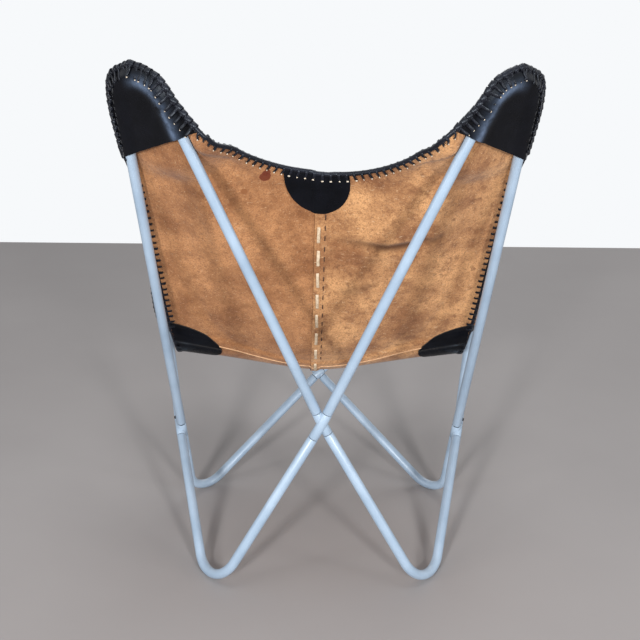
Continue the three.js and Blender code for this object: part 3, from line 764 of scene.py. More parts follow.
def leather_sheet(name, middle, back, thickness, materials):
    """middle: rows by columns of points; back: the direction of the sheet's back at each.

    A fourth material goes on the rim's last side, which is the grid's first column.
    """
    rows, columns = middle.shape[:2]
    behind = (middle + back * thickness / 2).reshape(-1, 3)
    ahead = (middle - back * thickness / 2).reshape(-1, 3)
    count = rows * columns
    index = np.arange(count).reshape(rows, columns)
    a, b, c, d = index[:-1, :-1], index[:-1, 1:], index[1:, 1:], index[1:, :-1]
    backs = np.stack([a, d, c, b], -1).reshape(-1, 4)
    fronts = np.stack([a, b, c, d], -1).reshape(-1, 4) + count
    rim = np.concatenate([index[0], index[1:, -1], index[-1, -2::-1], index[-2:0:-1, 0]])
    after = np.roll(rim, -1)
    walls = np.stack([rim, after, after + count, rim + count], -1)
    sense = np.sum(np.cross(np.gradient(middle, axis=0), np.gradient(middle, axis=1)) * back)
    faces = np.vstack([backs, fronts, walls])
    if sense < 0:
        faces = faces[:, ::-1]
    kinds = [0] * len(backs) + [1] * len(fronts) + [2] * len(walls)
    if len(materials) > 3:
        kinds[-(rows - 1):] = [3] * (rows - 1)
    mesh = bpy.data.meshes.new(name)
    mesh.from_pydata(place_points(np.vstack([behind, ahead])).tolist(), [], faces.tolist())
    for material in materials:
        mesh.materials.append(material)
    mesh.polygons.foreach_set("material_index", kinds)
    mesh.shade_smooth()
    mesh.set_sharp_from_angle(angle=SHARP_ANGLE)
    return add_object(name, mesh)


def mark_back(piece, name, values):
    """Gives the points of a sheet's back face a value that its material reads by this name."""
    layer = piece.data.attributes.new(name, "FLOAT", "POINT")
    layer.data.foreach_set("value", np.concatenate([np.ravel(values), np.zeros(np.size(values))]))


# %% [markdown]
# ## Leather finishes
#
# The back of the sling is the flesh side of the hide: pale tan, slightly furry, with clouds, flecks
# and small scars. The sitter's side is the smooth grain side. A picture of leather would repeat and
# stretch over this shape, so every colour change comes from noise on Object coordinates instead.
# Painted shade in the deepest crease, a darker line near it and a painted highlight on the pockets
# lie at given places, so those come from an attribute that the piece's own points carry.

# %% Tan leather
HIDE_ROUGHNESS, SOAKED = 0.68, 0.92
STAIN_RAGGED, STAIN_SOFT = 0.004, 0.0006
# The crease's painted shade and a darker line are mixed in with the first tone; OIL is a real stain.
CREASE_SHADE_AND_DARK_TONE, OIL = srgb(88, 56, 34), srgb(104, 36, 4)
STAINS = [  # centre in millimetres, radius in metres, colour
    ((93.1, 173.6, 703.1), 0.0095, OIL),
    ((91.5, 175.5, 711.5), 0.0078, OIL),
    ((126.5, 165.1, 676.6), 0.006, srgb(140, 88, 50)),
]


def spot_mask(place, centre, radius):
    """1 inside a ragged round stain and 0 outside."""
    away = add_node(place.id_data, "ShaderNodeVectorMath", {
        0: place, 1: Vector(place_points(centre).tolist())}, operation="DISTANCE")
    ragged = add_node(place.id_data, "ShaderNodeMath", {
        0: add_noise(place, 140, 3), 1: STAIN_RAGGED, 2: away.outputs["Value"]},
        operation="MULTIPLY_ADD")
    rim = radius + STAIN_RAGGED / 2
    return add_node(place.id_data, "ShaderNodeMapRange", {
        "Value": ragged.outputs["Value"], "From Min": rim + STAIN_SOFT,
        "From Max": rim - STAIN_SOFT}).outputs["Result"]


def tinted(mask, color, tint):
    """The colour turns into the tint where the mask is 1."""
    return add_node(mask.id_data, "ShaderNodeMix", {0: mask, 6: color, 7: (*tint, 1)},
                    data_type="RGBA").outputs[2]


def product(value, factor):
    """A value times another value or a plain number."""
    return add_node(value.id_data, "ShaderNodeMath", {0: value, 1: factor},
                    operation="MULTIPLY").outputs[0]


def own_value(tree, name):
    """The value that a piece's own points carry under this name."""
    return add_node(tree, "ShaderNodeAttribute", attribute_name=name).outputs["Fac"]


def masked_noise(place, scale, detail, start, full, strength):
    """A noise that is 0 at start and strength at full, for flecks and blotches."""
    return add_node(place.id_data, "ShaderNodeMapRange", {
        "Value": add_noise(place, scale, detail, HIDE_ROUGHNESS),
        "From Min": start, "From Max": full, "To Max": strength}).outputs["Result"]


def stretched(place, slope, squash):
    """Coordinates squashed along one sloping direction, so that a noise makes scratches."""
    return add_node(place.id_data, "ShaderNodeMapping", {
        "Vector": place, "Rotation": (0, math.radians(slope), 0),
        "Scale": (squash, 1, 1)}).outputs["Vector"]


def flesh_side(name, dark, light, blotch, scratch, stains=()):
    """The rough side of the hide, darker where the piece's own attribute says: a crease's painted
    shade.
    """
    material, shader, place = new_material(name)
    color = clouded(place, 11, 9, dark, light, 0.38, 0.62, HIDE_ROUGHNESS)
    sloping = stretched(place, 38, 0.3)
    for spots, tint in (
            (masked_noise(place, 34, 9, 0.5, 0.68, blotch), srgb(120, 74, 44)),
            (masked_noise(place, 95, 7, 0.54, 0.7, blotch), srgb(108, 66, 40)),
            (masked_noise(place, 230, 5, 0.56, 0.68, 0.5), srgb(84, 50, 30)),
            (masked_noise(place, 430, 4, 0.5, 0.62, 0.5), srgb(110, 68, 42)),
            (masked_noise(place, 300, 5, 0.42, 0.3, 0.5), srgb(228, 192, 150)),
            (masked_noise(sloping, 260, 4, 0.63, 0.7, scratch), srgb(238, 208, 170))):
        color = tinted(spots, color, tint)
    masks = [(spot_mask(place, centre, radius), tint) for centre, radius, tint in stains]
    for mask, tint in masks + [(own_value(place.id_data, "crease_shade_and_darkening"), CREASE_SHADE_AND_DARK_TONE)]:
        color = tinted(product(mask, SOAKED), color, tint)
    coarse = add_bump(add_noise(place, 70, 8, 0.7), 0.6, 0.0025)
    feed(shader, {
        "Base Color": color, "Roughness": 0.82, "Specular IOR Level": 0.3,
        "Sheen Weight": 0.12, "Sheen Roughness": 0.5,
        "Normal": add_bump(add_noise(place, 600, 4), 0.45, 0.0008, coarse)})
    return material


def grain_side():
    material, shader, place = new_material("tan_grain")
    pores = add_node(place.id_data, "ShaderNodeTexVoronoi", {"Vector": place, "Scale": 420})
    pebble = add_bump(pores.outputs["Distance"], 0.3, 0.0007)
    feed(shader, {
        "Base Color": clouded(place, 7, 7, srgb(133, 82, 42), srgb(176, 116, 64), 0.3, 0.7, 0.6),
        "Roughness": clouded(place, 25, 5, grey(0.42), grey(0.58)),
        "Normal": add_bump(add_noise(place, 40, 5), 0.3, 0.002, pebble)})
    return material


def cut_edge(name, low, high, rough):
    """Cut fibres: the edges of the hides, the cream thong, thread and punched holes."""
    material, shader, place = new_material(name)
    feed(shader, {
        "Base Color": clouded(place, 220, 4, low, high, 0.3, 0.7), "Roughness": rough,
        "Normal": add_bump(add_noise(place, 900, 3), 0.4, 0.0005)})
    return material


tan_edge = cut_edge("tan_edge", srgb(196, 150, 108), srgb(222, 184, 146), 0.8)
grain = grain_side()
tan_left = flesh_side("tan_flesh_left", srgb(142, 93, 56), srgb(196, 140, 93), 0.45, 0.25, STAINS)
tan_right = flesh_side("tan_flesh_right", srgb(148, 100, 63), srgb(218, 164, 112), 0.75, 0.5)

# %% [markdown]
# The pockets, the patches and the thong are black leather, dressed with wax. It is almost black but
# not quite, and its shine is what shows its shape. Over a pocket's inner leg a pale bluish highlight
# is painted into the colour.

# %% Black leather
# Painted highlight: the pale bluish colour mixed in over a pocket's tube.
PAINTED_HIGHLIGHT_TONE = srgb(122, 142, 172)


def waxed_black(name, rough, light, shine):
    """A painted highlight turns the colour pale bluish where the piece's own attribute says."""
    material, shader, place = new_material(name)
    base = clouded(place, 30, 6, (light * 0.7, light * 0.72, light * 1.1),
                   (light * 1.5, light * 1.6, light * 2.6), 0.35, 0.7)
    patchy = masked_noise(place, 26, 5, 0.3, 0.66, 1.0)
    painted_highlight = product(own_value(place.id_data, "painted_highlight"), patchy)
    wave = add_bump(add_noise(place, 50, 4), 0.22, 0.002)
    feed(shader, {
        "Base Color": tinted(painted_highlight, base, PAINTED_HIGHLIGHT_TONE),
        "Roughness": clouded(place, 45, 5, grey(rough - 0.06), grey(rough + 0.1), 0.3, 0.7),
        "Normal": add_bump(add_noise(place, 700, 3), 0.2, 0.0004, wave),
        "Specular IOR Level": shine, "Specular Tint": (0.8, 0.9, 1, 1)})
    return material


black = waxed_black("black_leather", 0.3, 0.0028, 0.16)
lace_black = waxed_black("black_lace", 0.34, 0.007, 0.3)
cream_hole = cut_edge("cream_hole", srgb(196, 178, 154), srgb(236, 226, 208), 0.7)
cream_thong = cut_edge("cream_thong", srgb(188, 164, 134), srgb(232, 212, 184), 0.6)
dark_thread = cut_edge("dark_thread", srgb(52, 32, 22), srgb(78, 50, 34), 0.7)
# A burnished cut edge, darkened also as painted shade of the step along the middle lap.
burnished_and_shaded_edge = cut_edge("burnished_and_shaded_edge", srgb(74, 42, 26), srgb(104, 62, 38), 0.6)
black_edge = cut_edge("black_edge", (0.01, 0.01, 0.011), (0.03, 0.028, 0.026), 0.7)
black_hide = [black, black_edge, black_edge]
print("materials", len(bpy.data.materials))

# %% [markdown]
# ## The four panels
#
# Two back panels and two seat panels make the sling. Each seam is a lap: the right-hand panel lies
# over the left one at the middle, and the back panels lie over the seat panels at the waist. The
# leather is taut, so its only folds are shallow. They could be sculpted, but a ridge along a few
# named places is easy to move, and the same rule says where painted shade darkens the deepest
# crease.
#
# Places on the sling are (u, v): u runs from -1 to 1 across it and v from 0 at the top to 1 at the
# front. Heights are in millimetres, and a ridge's width is in v.

# %% Ridges
U_TO_V, FADE = 0.5, 0.04


def ridge(u, v, path, width, height):
    """A soft ridge along a path of (u, v) places; a negative height makes a crease."""
    path = np.array(path, float)
    nearest = np.full(np.shape(u), np.inf)
    fade = np.zeros(np.shape(u))
    total = len(path) - 1
    for index, (start, stop) in enumerate(zip(path[:-1], path[1:])):
        run = (stop - start) * arr(U_TO_V, 1)
        aside, below = (u - start[0]) * U_TO_V, v - start[1]
        share = np.clip((aside * run[0] + below * run[1]) / (run @ run), 0, 1)
        gap = np.hypot(aside - share * run[0], below - share * run[1])
        place = (index + share) / total
        fade = np.where(gap < nearest, np.sin(np.pi * np.clip(place, FADE, 1 - FADE)), fade)
        nearest = np.minimum(nearest, gap)
    return height * fade * np.exp(-(nearest / width) ** 2)


DEEP_CREASE = [
    (-0.01, 0.126), (-0.18, 0.151), (-0.32, 0.179), (-0.47, 0.2), (-0.59, 0.215), (-0.7, 0.217)]
FOLDS = [  # path, width, height
    (DEEP_CREASE, 0.0065, -5.0),
    ([(-0.02, 0.15), (-0.2, 0.172), (-0.4, 0.205), (-0.6, 0.235)], 0.012, 2.4),
    ([(-0.75, 0.12), (-0.55, 0.2), (-0.4, 0.3)], 0.018, -1.6),
    ([(0.72, 0.12), (0.62, 0.24), (0.6, 0.4)], 0.022, -1.8),
    ([(0.5, 0.1), (0.4, 0.25), (0.3, 0.42)], 0.03, 1.5),
    ([(-0.62, 0.3), (-0.5, 0.4), (-0.36, 0.47)], 0.018, 1.6),
    ([(0.85, 0.33), (0.7, 0.42), (0.5, 0.47)], 0.016, -1.8),
    ([(-0.85, 0.33), (-0.7, 0.42), (-0.5, 0.47)], 0.016, -1.8),
    ([(0.6, 0.62), (0.7, 0.75), (0.8, 0.85)], 0.02, -1.8),
    ([(-0.6, 0.62), (-0.7, 0.75), (-0.8, 0.85)], 0.02, -1.8),
]
# Lines darkened on the back panels: painted shade in the deepest crease, and a darker line below it.
CREASE_SHADE_AND_DARKENING = [  # path, width, share of dirt
    (DEEP_CREASE, 0.007, 1.2),
    ([(-0.05, 0.245), (-0.2, 0.262), (-0.34, 0.25)], 0.012, 0.45),
]


def folds(u, v):
    return sum(ridge(u, v, *fold) for fold in FOLDS)


# %% Laps: where one panel steps over another
LAP_GAP = 0.3
STEP_UP = LEATHER + LAP_GAP
MIDDLE_LAP = {"u": 0.035, "lean": 0.027, "start": 0.07, "span": 0.41, "before": 0.07, "ramp": 0.03}
WAIST_LAP = {"v": 0.484, "rise": 0.0155, "span": 0.75, "before": 0.024, "ramp": 0.012}
PAST_MIDDLE, PAST_WAIST = 0.02, 0.01


def middle_lap(v):
    """Where the right panel's cut edge runs over the left one, as u."""
    along = np.clip((v - MIDDLE_LAP["start"]) / MIDDLE_LAP["span"], -0.2, 1)
    return MIDDLE_LAP["u"] + MIDDLE_LAP["lean"] * along


def waist_lap(u):
    """Where the back panels' cut edge runs over the seat panels, as v."""
    return WAIST_LAP["v"] - WAIST_LAP["rise"] * smooth_step(np.abs(u) / WAIST_LAP["span"])


def step_over_middle(u, v):
    return STEP_UP * smooth_step((u - middle_lap(v) + MIDDLE_LAP["before"]) / MIDDLE_LAP["ramp"])


def over_middle_lap(u, v):
    """The step under a piece that crosses the lap, and comes down past its cut edge."""
    return step_over_middle(u, v) * fade_out(u, middle_lap(v), PAST_MIDDLE)


def step_over_waist(u, v):
    return STEP_UP * smooth_step((v - waist_lap(u) + WAIST_LAP["before"]) / WAIST_LAP["ramp"])


# %% The panels
PANEL_COLUMNS, PANEL_ROWS = 96, 120
CROWD_U, CROWD_V = 0.25, 0.35
SEAT_START = 0.462


def crowded(count, amount):
    """Shares from 0 to 1 that lie closer together at both ends, where the edges bend most."""
    share = np.linspace(0, 1, count)
    return share - amount * np.sin(2 * np.pi * share) / (2 * np.pi)


def panel_points(side, is_back):
    v_start = 0 if is_back else SEAT_START
    u, v = np.meshgrid(side * crowded(PANEL_COLUMNS, CROWD_U),
                       v_start + (1 - v_start) * crowded(PANEL_ROWS, CROWD_V))
    if is_back:
        v = v * waist_lap(u)
    if side < 0:
        start = middle_lap(v)
        u = start + u * (1 + start)
    back = sling_back(u, v)
    lift = folds(u, v)
    if side < 0:
        lift = lift + step_over_middle(u, v)
    if is_back:
        lift = lift + step_over_waist(u, v)
    # How dark each point is painted; in the deepest crease this is painted shade.
    crease_shade_and_darkening = sum(share * ridge(u, v, path, width, 1.0) for path, width, share in CREASE_SHADE_AND_DARKENING)
    return sling(u, v) + back * lift[..., None], back, crease_shade_and_darkening


for hand, side in HANDS.items():
    finishes = ([tan_left, grain, tan_edge] if hand == "left"
                else [tan_right, grain, tan_edge, burnished_and_shaded_edge])
    for part, end in (("back", "rear"), ("seat", "front")):
        node = f"{part}_panel_{hand}"
        middle, back, crease_shade_and_darkening = panel_points(side, part == "back")
        piece = leather_sheet(node + "_hide", middle, back, LEATHER, finishes)
        stand_for(piece, node)
        if part == "back":
            mark_back(piece, "crease_shade_and_darkening", crease_shade_and_darkening)

# %% [markdown]
# ## The pockets
#
# Each pocket is one piece of waxed black leather over a wing's back, laced round the outline and
# left open at the hem, where the two legs of the hoop come out. It is stretched over the tube, so
# between the legs it dips a little. It could be cut from a block with the tube taken out, but a
# sheet laid over `pod` follows the tube closely and stays as thin as leather. Over the inner leg a
# pale bluish highlight is painted into the colour.

# %% Pocket shapes
POCKET_RISE = TUBE_R + GAP + POCKET_LEATHER / 2
HEM = {"left": 0.63, "right": 0.64}
FRONT_REACH, CUFF_REACH = 0.9, 0.955
POCKET_ROWS, POCKET_COLUMNS, POCKET_CROWD = 64, 72, 0.4
TIP_START, TIP_CROWD = 0.12, 2.2
EDGE_INSET, POCKET_DIP, DIP_WIDTH = 0.6, 3.0, 30
# Where the painted highlight lies beside the inner leg, and how strong it is on each pocket.
PAINTED_HIGHLIGHT_BAND = {"inside": 6.0, "width": 8.0, "leg": 0.35, "leg_width": 0.9, "rear": 0.9, "front": 0.4}


def pocket_points(hand, end):
    """Rows of points from one edge of the wing to the other, each row nearer to the hem."""
    half = halves[hand]
    wing = half[end]
    if end == "rear":
        reach = 1 - HEM[hand]
        inner = half["top"]["at"]
        outer = lambda share: half["edge"]["at"](share * half["rear_cuff"] * CUFF_REACH)
    else:
        reach = (1 - half["front_shoulder"]) * FRONT_REACH
        inner = half["low"]["at"]
        outer = lambda share: half["edge"]["at"](1 - share * (1 - half["front_cuff"]))
    share = np.linspace(TIP_START, 1, POCKET_ROWS) ** TIP_CROWD
    start, stop = inner(1 - share * reach), outer(share)
    width = np.linalg.norm(stop - start, axis=1)[:, None]
    inset = EDGE_INSET / width
    place = inset + (1 - 2 * inset) * crowded(POCKET_COLUMNS, POCKET_CROWD)
    flat = start[:, None] + (stop - start)[:, None] * place[..., None]
    along, across, _ = wing_coordinates(flat, wing)
    distance = tube_distance(along, across, wing)
    rise = pod(distance, POCKET_RISE, POCKET_RIM)
    rise = rise - POCKET_DIP * smooth_step(-distance / DIP_WIDTH)
    points = (wing["centre"] + along[..., None] * wing["tipward"]
              + across[..., None] * wing["across"] - rise[..., None] * wing["seat_side"])
    flip = arr(HANDS[hand], 1, 1)
    back = grid_normals(points)
    back = back * np.sign(np.sum(back * -wing["seat_side"], axis=-1, keepdims=True))
    # A painted highlight along the inner leg's crown, carried by the pocket's own points.
    inner_leg = smooth_step((PAINTED_HIGHLIGHT_BAND["leg"] - across / WING_R) / PAINTED_HIGHLIGHT_BAND["leg_width"])
    painted_highlight = inner_leg * np.exp(-((distance + PAINTED_HIGHLIGHT_BAND["inside"]) / PAINTED_HIGHLIGHT_BAND["width"]) ** 2)
    return points * flip, back * flip, painted_highlight * PAINTED_HIGHLIGHT_BAND[end]


for hand in HANDS:
    for end in ("rear", "front"):
        node = f"{end}_pocket_{hand}"
        middle, back, painted_highlight = pocket_points(hand, end)
        piece = leather_sheet(node + "_hide", middle, back, POCKET_LEATHER, black_hide)
        mark_back(piece, "painted_highlight", painted_highlight)
        stand_for(piece, node)

# %% [markdown]
# ## Black patches
#
# A rounded patch covers the top of the middle seam, and two more cover the ends of the waist seam.
# A patch could be projected on the panel with a modifier. Here its outline is drawn in the panel's
# own (u, v), a half or a quarter of a rounded square, so it lies on the leather and its laps.

# %% Patches
TOP_PATCH = {"half_width": 56, "drop": 72, "setback": 0.5, "lean": -0.25, "u": 0.0375}
WAIST_PATCH = {"reach": 83, "half_height": 50, "inset": 0.004, "v": 0.475}
PATCH_LIFT = (LEATHER + PATCH_LEATHER) / 2 + LAP_GAP
SQUARENESS, ALMOST = 2.3, 0.985


def patch(node, u, v, lift):
    back = sling_back(u, v)
    middle = sling(u, v) + back * (folds(u, v) + lift)[..., None]
    piece = leather_sheet(node + "_hide", middle, back, PATCH_LEATHER, black_hide)
    stand_for(piece, node)


def rounded(share):
    """How wide a rounded patch is, as a share of its widest, at a share of its length."""
    return (1 - share ** SQUARENESS) ** (1 / SQUARENESS)


top_length = halves["left"]["top"]["length"]
back_length = middle_line["length"] * middle_waist * 2
fallen = np.sin(np.linspace(0, 1, 40) * math.pi / 2 * ALMOST)[:, None]
patch_v = (TOP_PATCH["setback"] + fallen * TOP_PATCH["drop"]) / back_length
patch_u = (TOP_PATCH["u"] + TOP_PATCH["lean"] * patch_v
           + np.linspace(-1, 1, 60) * rounded(fallen) * TOP_PATCH["half_width"] / top_length)
patch_v = np.broadcast_to(patch_v, patch_u.shape)
patch("top_centre_patch", patch_u, patch_v, PATCH_LIFT + over_middle_lap(patch_u, patch_v))

for hand, side in HANDS.items():
    away = np.sin(np.linspace(-1, 1, 56) * math.pi / 2)[:, None] * ALMOST
    reach = rounded(np.abs(away)) * WAIST_PATCH["reach"] / WAIST_SIDE[0]
    patch_u = side * (1 - WAIST_PATCH["inset"] - reach * np.linspace(0, 1, 50))
    half_height = WAIST_PATCH["half_height"] / (
        halves[hand]["edge"]["length"] * halves[hand]["edge_waist"] * 2)
    patch_v = np.broadcast_to(WAIST_PATCH["v"] + away * half_height, patch_u.shape)
    patch_lift = PATCH_LIFT + step_over_waist(patch_u, patch_v) * fade_out(
        patch_v, waist_lap(patch_u), PAST_WAIST)
    patch(f"waist_patch_{hand}", patch_u, patch_v, patch_lift)

# %% [markdown]
# ## Lacing
#
# A flat black thong is whipped over every free edge: up from a hole in the back, over a dark core,
# and down to a hole in front. Round the wings it goes through the pocket and the panel, closer and
# longer, and a second thong is wound along the rim. Some hundreds of loops would be slow to place
# by hand, so one Geometry Nodes tree sets a shape on points that carry the edge's direction, its
# outward direction and a size. A fixed seed turns each loop a little, as no two are pulled alike.

# %% Geometry Nodes: a shape set along an edge
def build_lacing_tree():
    tree, given = new_tree("lacing_on_edge", [
        ("Shape", "Object", None), ("Seed", "Int", 3), ("Twist", "Float", 0.1),
        ("Material", "Material", None)])

    def carried(name):
        """What each point carries under this name."""
        node = add_node(tree, "GeometryNodeInputNamedAttribute", {"Name": name},
                        data_type="FLOAT_VECTOR")
        return node.outputs["Attribute"]

    facing = add_node(tree, "FunctionNodeAxesToRotation", {
        "Primary Axis": carried("along"), "Secondary Axis": carried("outward")},
        primary_axis="X", secondary_axis="Y")
    shape = add_node(tree, "GeometryNodeObjectInfo", {"Object": given["Shape"]})
    setting = add_node(tree, "GeometryNodeInstanceOnPoints", {
        "Points": given["Geometry"], "Instance": shape.outputs["Geometry"],
        "Rotation": facing.outputs["Rotation"], "Scale": carried("size")})
    chance = add_node(tree, "FunctionNodeRandomValue", {
        "Min": (-1, -1, -1), "Max": (1, 1, 1), "Seed": given["Seed"]}, data_type="FLOAT_VECTOR")
    amount = add_node(tree, "ShaderNodeVectorMath", {
        0: chance.outputs["Value"], "Scale": given["Twist"]}, operation="SCALE")
    turning = add_node(tree, "GeometryNodeRotateInstances", {
        "Instances": setting.outputs["Instances"], "Rotation": amount.outputs["Vector"]})
    return finish_tree(tree, given, turning.outputs["Instances"])


lacing_tree = build_lacing_tree()


def plain_object(name, vertices, faces):
    mesh = bpy.data.meshes.new(name)
    mesh.from_pydata((np.asarray(vertices) * MM).tolist(), [], faces)
    mesh.shade_smooth()
    return add_object(name, mesh)


def set_along(name, spots, shape, material, seed, twist):
    """spots: rows of place, along, outward and size."""
    carrier = plain_object(name, np.zeros((len(spots), 3)), [])
    places = np.array([spot[0] for spot in spots])
    carrier.data.vertices.foreach_set("co", place_points(places).ravel())
    for index, key in enumerate(("along", "outward", "size"), 1):
        attribute = carrier.data.attributes.new(key, "FLOAT_VECTOR", "POINT")
        attribute.data.foreach_set("vector", np.array([spot[index] for spot in spots]).ravel())
    return baked(carrier, lacing_tree, name, {
        "Shape": shape, "Seed": seed, "Twist": twist, "Material": material})


# %% [markdown]
# A loop is a flat strap along a short path, drawn in the plane square to the edge: how far outward,
# and how far towards the back. The pale dots are the punched holes' rims, each a low round stub.

# %% The shapes that are set: a thong's loop over an edge, and a turn of thong along a rim
def from_rings(name, rings):
    """A solid whose skin joins ring to ring, with both ends closed."""
    vertices, count = np.array(rings).reshape(-1, 3), len(rings[0])
    last, faces = len(vertices) - count, []
    for low in range(0, last, count):
        for corner in range(count):
            after, high = (corner + 1) % count, low + count
            faces.append((low + corner, low + after, high + after, high + corner))
    faces += [tuple(range(count - 1, -1, -1)), tuple(range(last, last + count))]
    return plain_object(name, vertices, faces)


def strap(name, path, width, thickness):
    """A flat thong along a path of (outward, backward) places, lying square to the edge."""
    path = np.array(path, float)
    fine = np.linspace(0, len(path) - 1, len(path) * 2 - 1)
    path = read_rows(fine, np.arange(len(path)), path)
    heading = unit(np.gradient(path, axis=0))
    normal = np.stack([-heading[:, 1], heading[:, 0]], -1)
    half, thick, soft = width / 2, thickness / 2, thickness * 0.35
    section = [(-half, -thick + soft), (-half + soft, -thick), (half - soft, -thick),
               (half, -thick + soft), (half, thick - soft), (half - soft, thick),
               (-half + soft, thick), (-half, thick - soft)]
    return from_rings(name, [[(across, *(spot + rise * share)) for across, share in section]
                             for spot, rise in zip(path, normal)])


def both_faces(leg):
    """A loop's path: down one face of the leather, over the edge and down the other."""
    return leg + [(out, -back) for out, back in reversed(leg)]


THONG, THONG_THICK, WING_THONG_THICK = 4.4, 1.3, 1.5
CORE_PLACE, CORE_R = 1.5, 3.7
EDGE_LEG = [(-9.6, 1.4), (-8.6, 3.1), (-4.6, 4.5), (0.2, 5.0), (2.6, 4.2), (3.8, 1.5)]
WING_LEG = [
    (-13.2, 10.8), (-12.4, 12.3), (-9.6, 11.6), (-6.4, 9.0), (-3.4, 6.4), (0, 5.1), (3, 4.6)]
ROPE_PLACE, ROPE_R, ROPE_THONG = 3.2, 4.5, 10.8
edge_loop = strap("edge_loop", both_faces(EDGE_LEG), THONG, THONG_THICK)
wing_leg = strap("wing_leg", WING_LEG, THONG, WING_THONG_THICK)
seat_leg = strap(
    "seat_leg", [(out, -back) for out, back in reversed(WING_LEG)], THONG, WING_THONG_THICK)
rope_turn = strap("rope_turn", [
    (ROPE_PLACE + ROPE_R * math.cos(angle), ROPE_R * math.sin(angle))
    for angle in np.radians(np.linspace(-195, 195, 12))], ROPE_THONG, WING_THONG_THICK)


HOLE_R, HOLE_RISE, HOLE_SIDES = 1.5, 3.2, 8


def hole_stub(name, outward, back):
    """The pale rim of a punched hole: a low round stub that stands on the leather."""
    angles = np.radians(np.arange(HOLE_SIDES) * 360 / HOLE_SIDES)
    return from_rings(name, [
        [(radius * math.cos(angle), outward + radius * math.sin(angle), back + height)
         for angle in angles]
        for radius, height in ((HOLE_R, 0), (HOLE_R, HOLE_RISE * 0.7), (HOLE_R * 0.6, HOLE_RISE))])


edge_hole = hole_stub("edge_hole", -10.2, 1.2)
wing_hole = hole_stub("wing_hole", -13.9, 9.8)

# %% [markdown]
# The edge's stations give each loop its frame. On a wing the loops stand square to the hoop's own
# plane, and along the free edges they stand square to the leather.

# %% Stations along an edge
WING_LIFT, WING_END = 1.6, (1.75, 0.35)


def edge_frames(u, v, inside_u, inside_v):
    """Place, along, outward and back at each (u, v) of an edge; inside lies nearer the middle."""
    rim, inside = sling(u, v), sling(inside_u, inside_v)
    back = sling_back(u, v)
    wing_share = np.zeros(len(u))
    for hand, side in HANDS.items():
        flip = arr(side, 1, 1)
        for end in ("rear", "front"):
            wing = halves[hand][end]
            along, across, height = wing_coordinates(rim * flip, wing)
            reach = np.sqrt(along ** 2 + across ** 2 + height ** 2) / WING_R
            weight = fade_out(reach, *WING_END) * ((u >= 0) == (side > 0))
            back = unit(back * (1 - weight[:, None]) - wing["seat_side"] * flip * weight[:, None])
            wing_share = np.maximum(wing_share, weight)
    heading = unit(np.gradient(rim, axis=0))
    outward = unit(np.cross(heading, back))
    outward = outward * np.sign(np.sum(outward * (rim - inside), axis=1, keepdims=True))
    rim = rim + back * (WING_LIFT * wing_share)[:, None]
    return rim, heading, outward, back


def upright(outward, back, amount):
    """Turns the loops of a sloping edge towards the vertical, as a hand lacer holds them."""
    level = arr(0, 0, 1) - back * back[:, 2:]
    turned = unit(outward * (1 - amount) + unit(level) * amount)
    return unit(np.cross(turned, back)), turned


# %% [markdown]
# Walking along an edge, each station gets a loop, or round a wing a leg on each face and a turn of
# the rope. Every few millimetres the spacing and width change a little, as a hand lacer's do.

# %% Whipping one edge
LOOP_PITCH, WING_PITCH, WING_UNEVEN = 13.6, 11.2, 0.8
START, END_MARGIN, ROPE_BLEND = 4.0, 2, 12
FRONT_PROUD = 0.72
PATCH_SPAN, HOLE_ON_PATCH, HOLE_PLAIN = 0.15, 1.5, 0.6
WING_WAVE, LEAN, LEAN_UNEVEN, LEG_UNEVEN, TURN_UNEVEN = 0.9, 0.16, 0.06, 0.1, 0.05
LOOP_WAVE, LOOP_UNEVEN = 0.7, 0.12


def whip_edge(node, u, v, inside_u, inside_v, on_pocket, seed, vertical=0.0, pale=True):
    """Laces one edge; on_pocket is 1 on a wing, and pale shows the rims of the holes."""
    name = node + "_thong"
    rim, heading, outward, back = edge_frames(u, v, inside_u, inside_v)
    rim = rim + back * over_middle_lap(u, v)[:, None]
    loop_heading, loop_outward = upright(outward, back, vertical)
    walked = walked_length(rim)
    proud_there = np.where(v > 0.5, FRONT_PROUD, 1)

    def reading(values, place):
        return read_rows(place, walked, values)

    place, loops, holes, legs, turns = START, [], [], [], []
    while place < walked[-1] - END_MARGIN:
        spot, out = reading(rim, place), unit(reading(outward, place))
        if np.interp(place, walked, on_pocket) > 0.5:
            uneven = math.sin(place * WING_WAVE)
            lean = LEAN + LEAN_UNEVEN * uneven
            leaning = unit(np.cross(out, reading(back, place)) + out * lean)
            proud = np.interp(place, walked, proud_there)
            legs.append((spot, leaning, out, (1 + LEG_UNEVEN * uneven, proud, 1)))
            turns.append((spot, leaning, out, (1 + TURN_UNEVEN * uneven, proud, 1)))
            place += WING_PITCH + WING_UNEVEN * uneven
        else:
            wide = 1 + LOOP_UNEVEN * math.sin(place * LOOP_WAVE)
            loops.append((spot, unit(reading(loop_heading, place)),
                          unit(reading(loop_outward, place)), (wide, 1, 1)))
            if pale:
                on_patch = abs(np.interp(place, walked, u)) < PATCH_SPAN
                holes.append((*loops[-1][:3], (HOLE_ON_PATCH if on_patch else HOLE_PLAIN, 1, 1)))
            place += LOOP_PITCH
    nearby = np.linspace(-ROPE_BLEND, ROPE_BLEND, 9)
    rope = np.mean([np.interp(walked + shift, walked, on_pocket) for shift in nearby], axis=0)
    core = rim + outward * (CORE_PLACE + (ROPE_PLACE * proud_there - CORE_PLACE) * rope)[:, None]
    parts = [tube_along(name + "_core", core[::3], CORE_R, lace_black, filed=0.5, sides=12)]
    for label, spots, shape, material, twist in (
            ("_loops", loops, edge_loop, lace_black, 0.07),
            ("_holes", holes, edge_hole, cream_hole, 0.07),
            ("_legs", legs, wing_leg, lace_black, 0.1),
            ("_wing_holes", legs if pale else [], wing_hole, cream_hole, 0.1),
            ("_seat_legs", legs, seat_leg, lace_black, 0.1),
            ("_turns", turns, rope_turn, lace_black, 0.06)):
        if spots:
            parts.append(set_along(name + label, spots, shape, material, seed, twist))
    stand_for(join_pieces(name, parts), node)
    print(name, "loops", len(loops), "wing loops", len(legs))


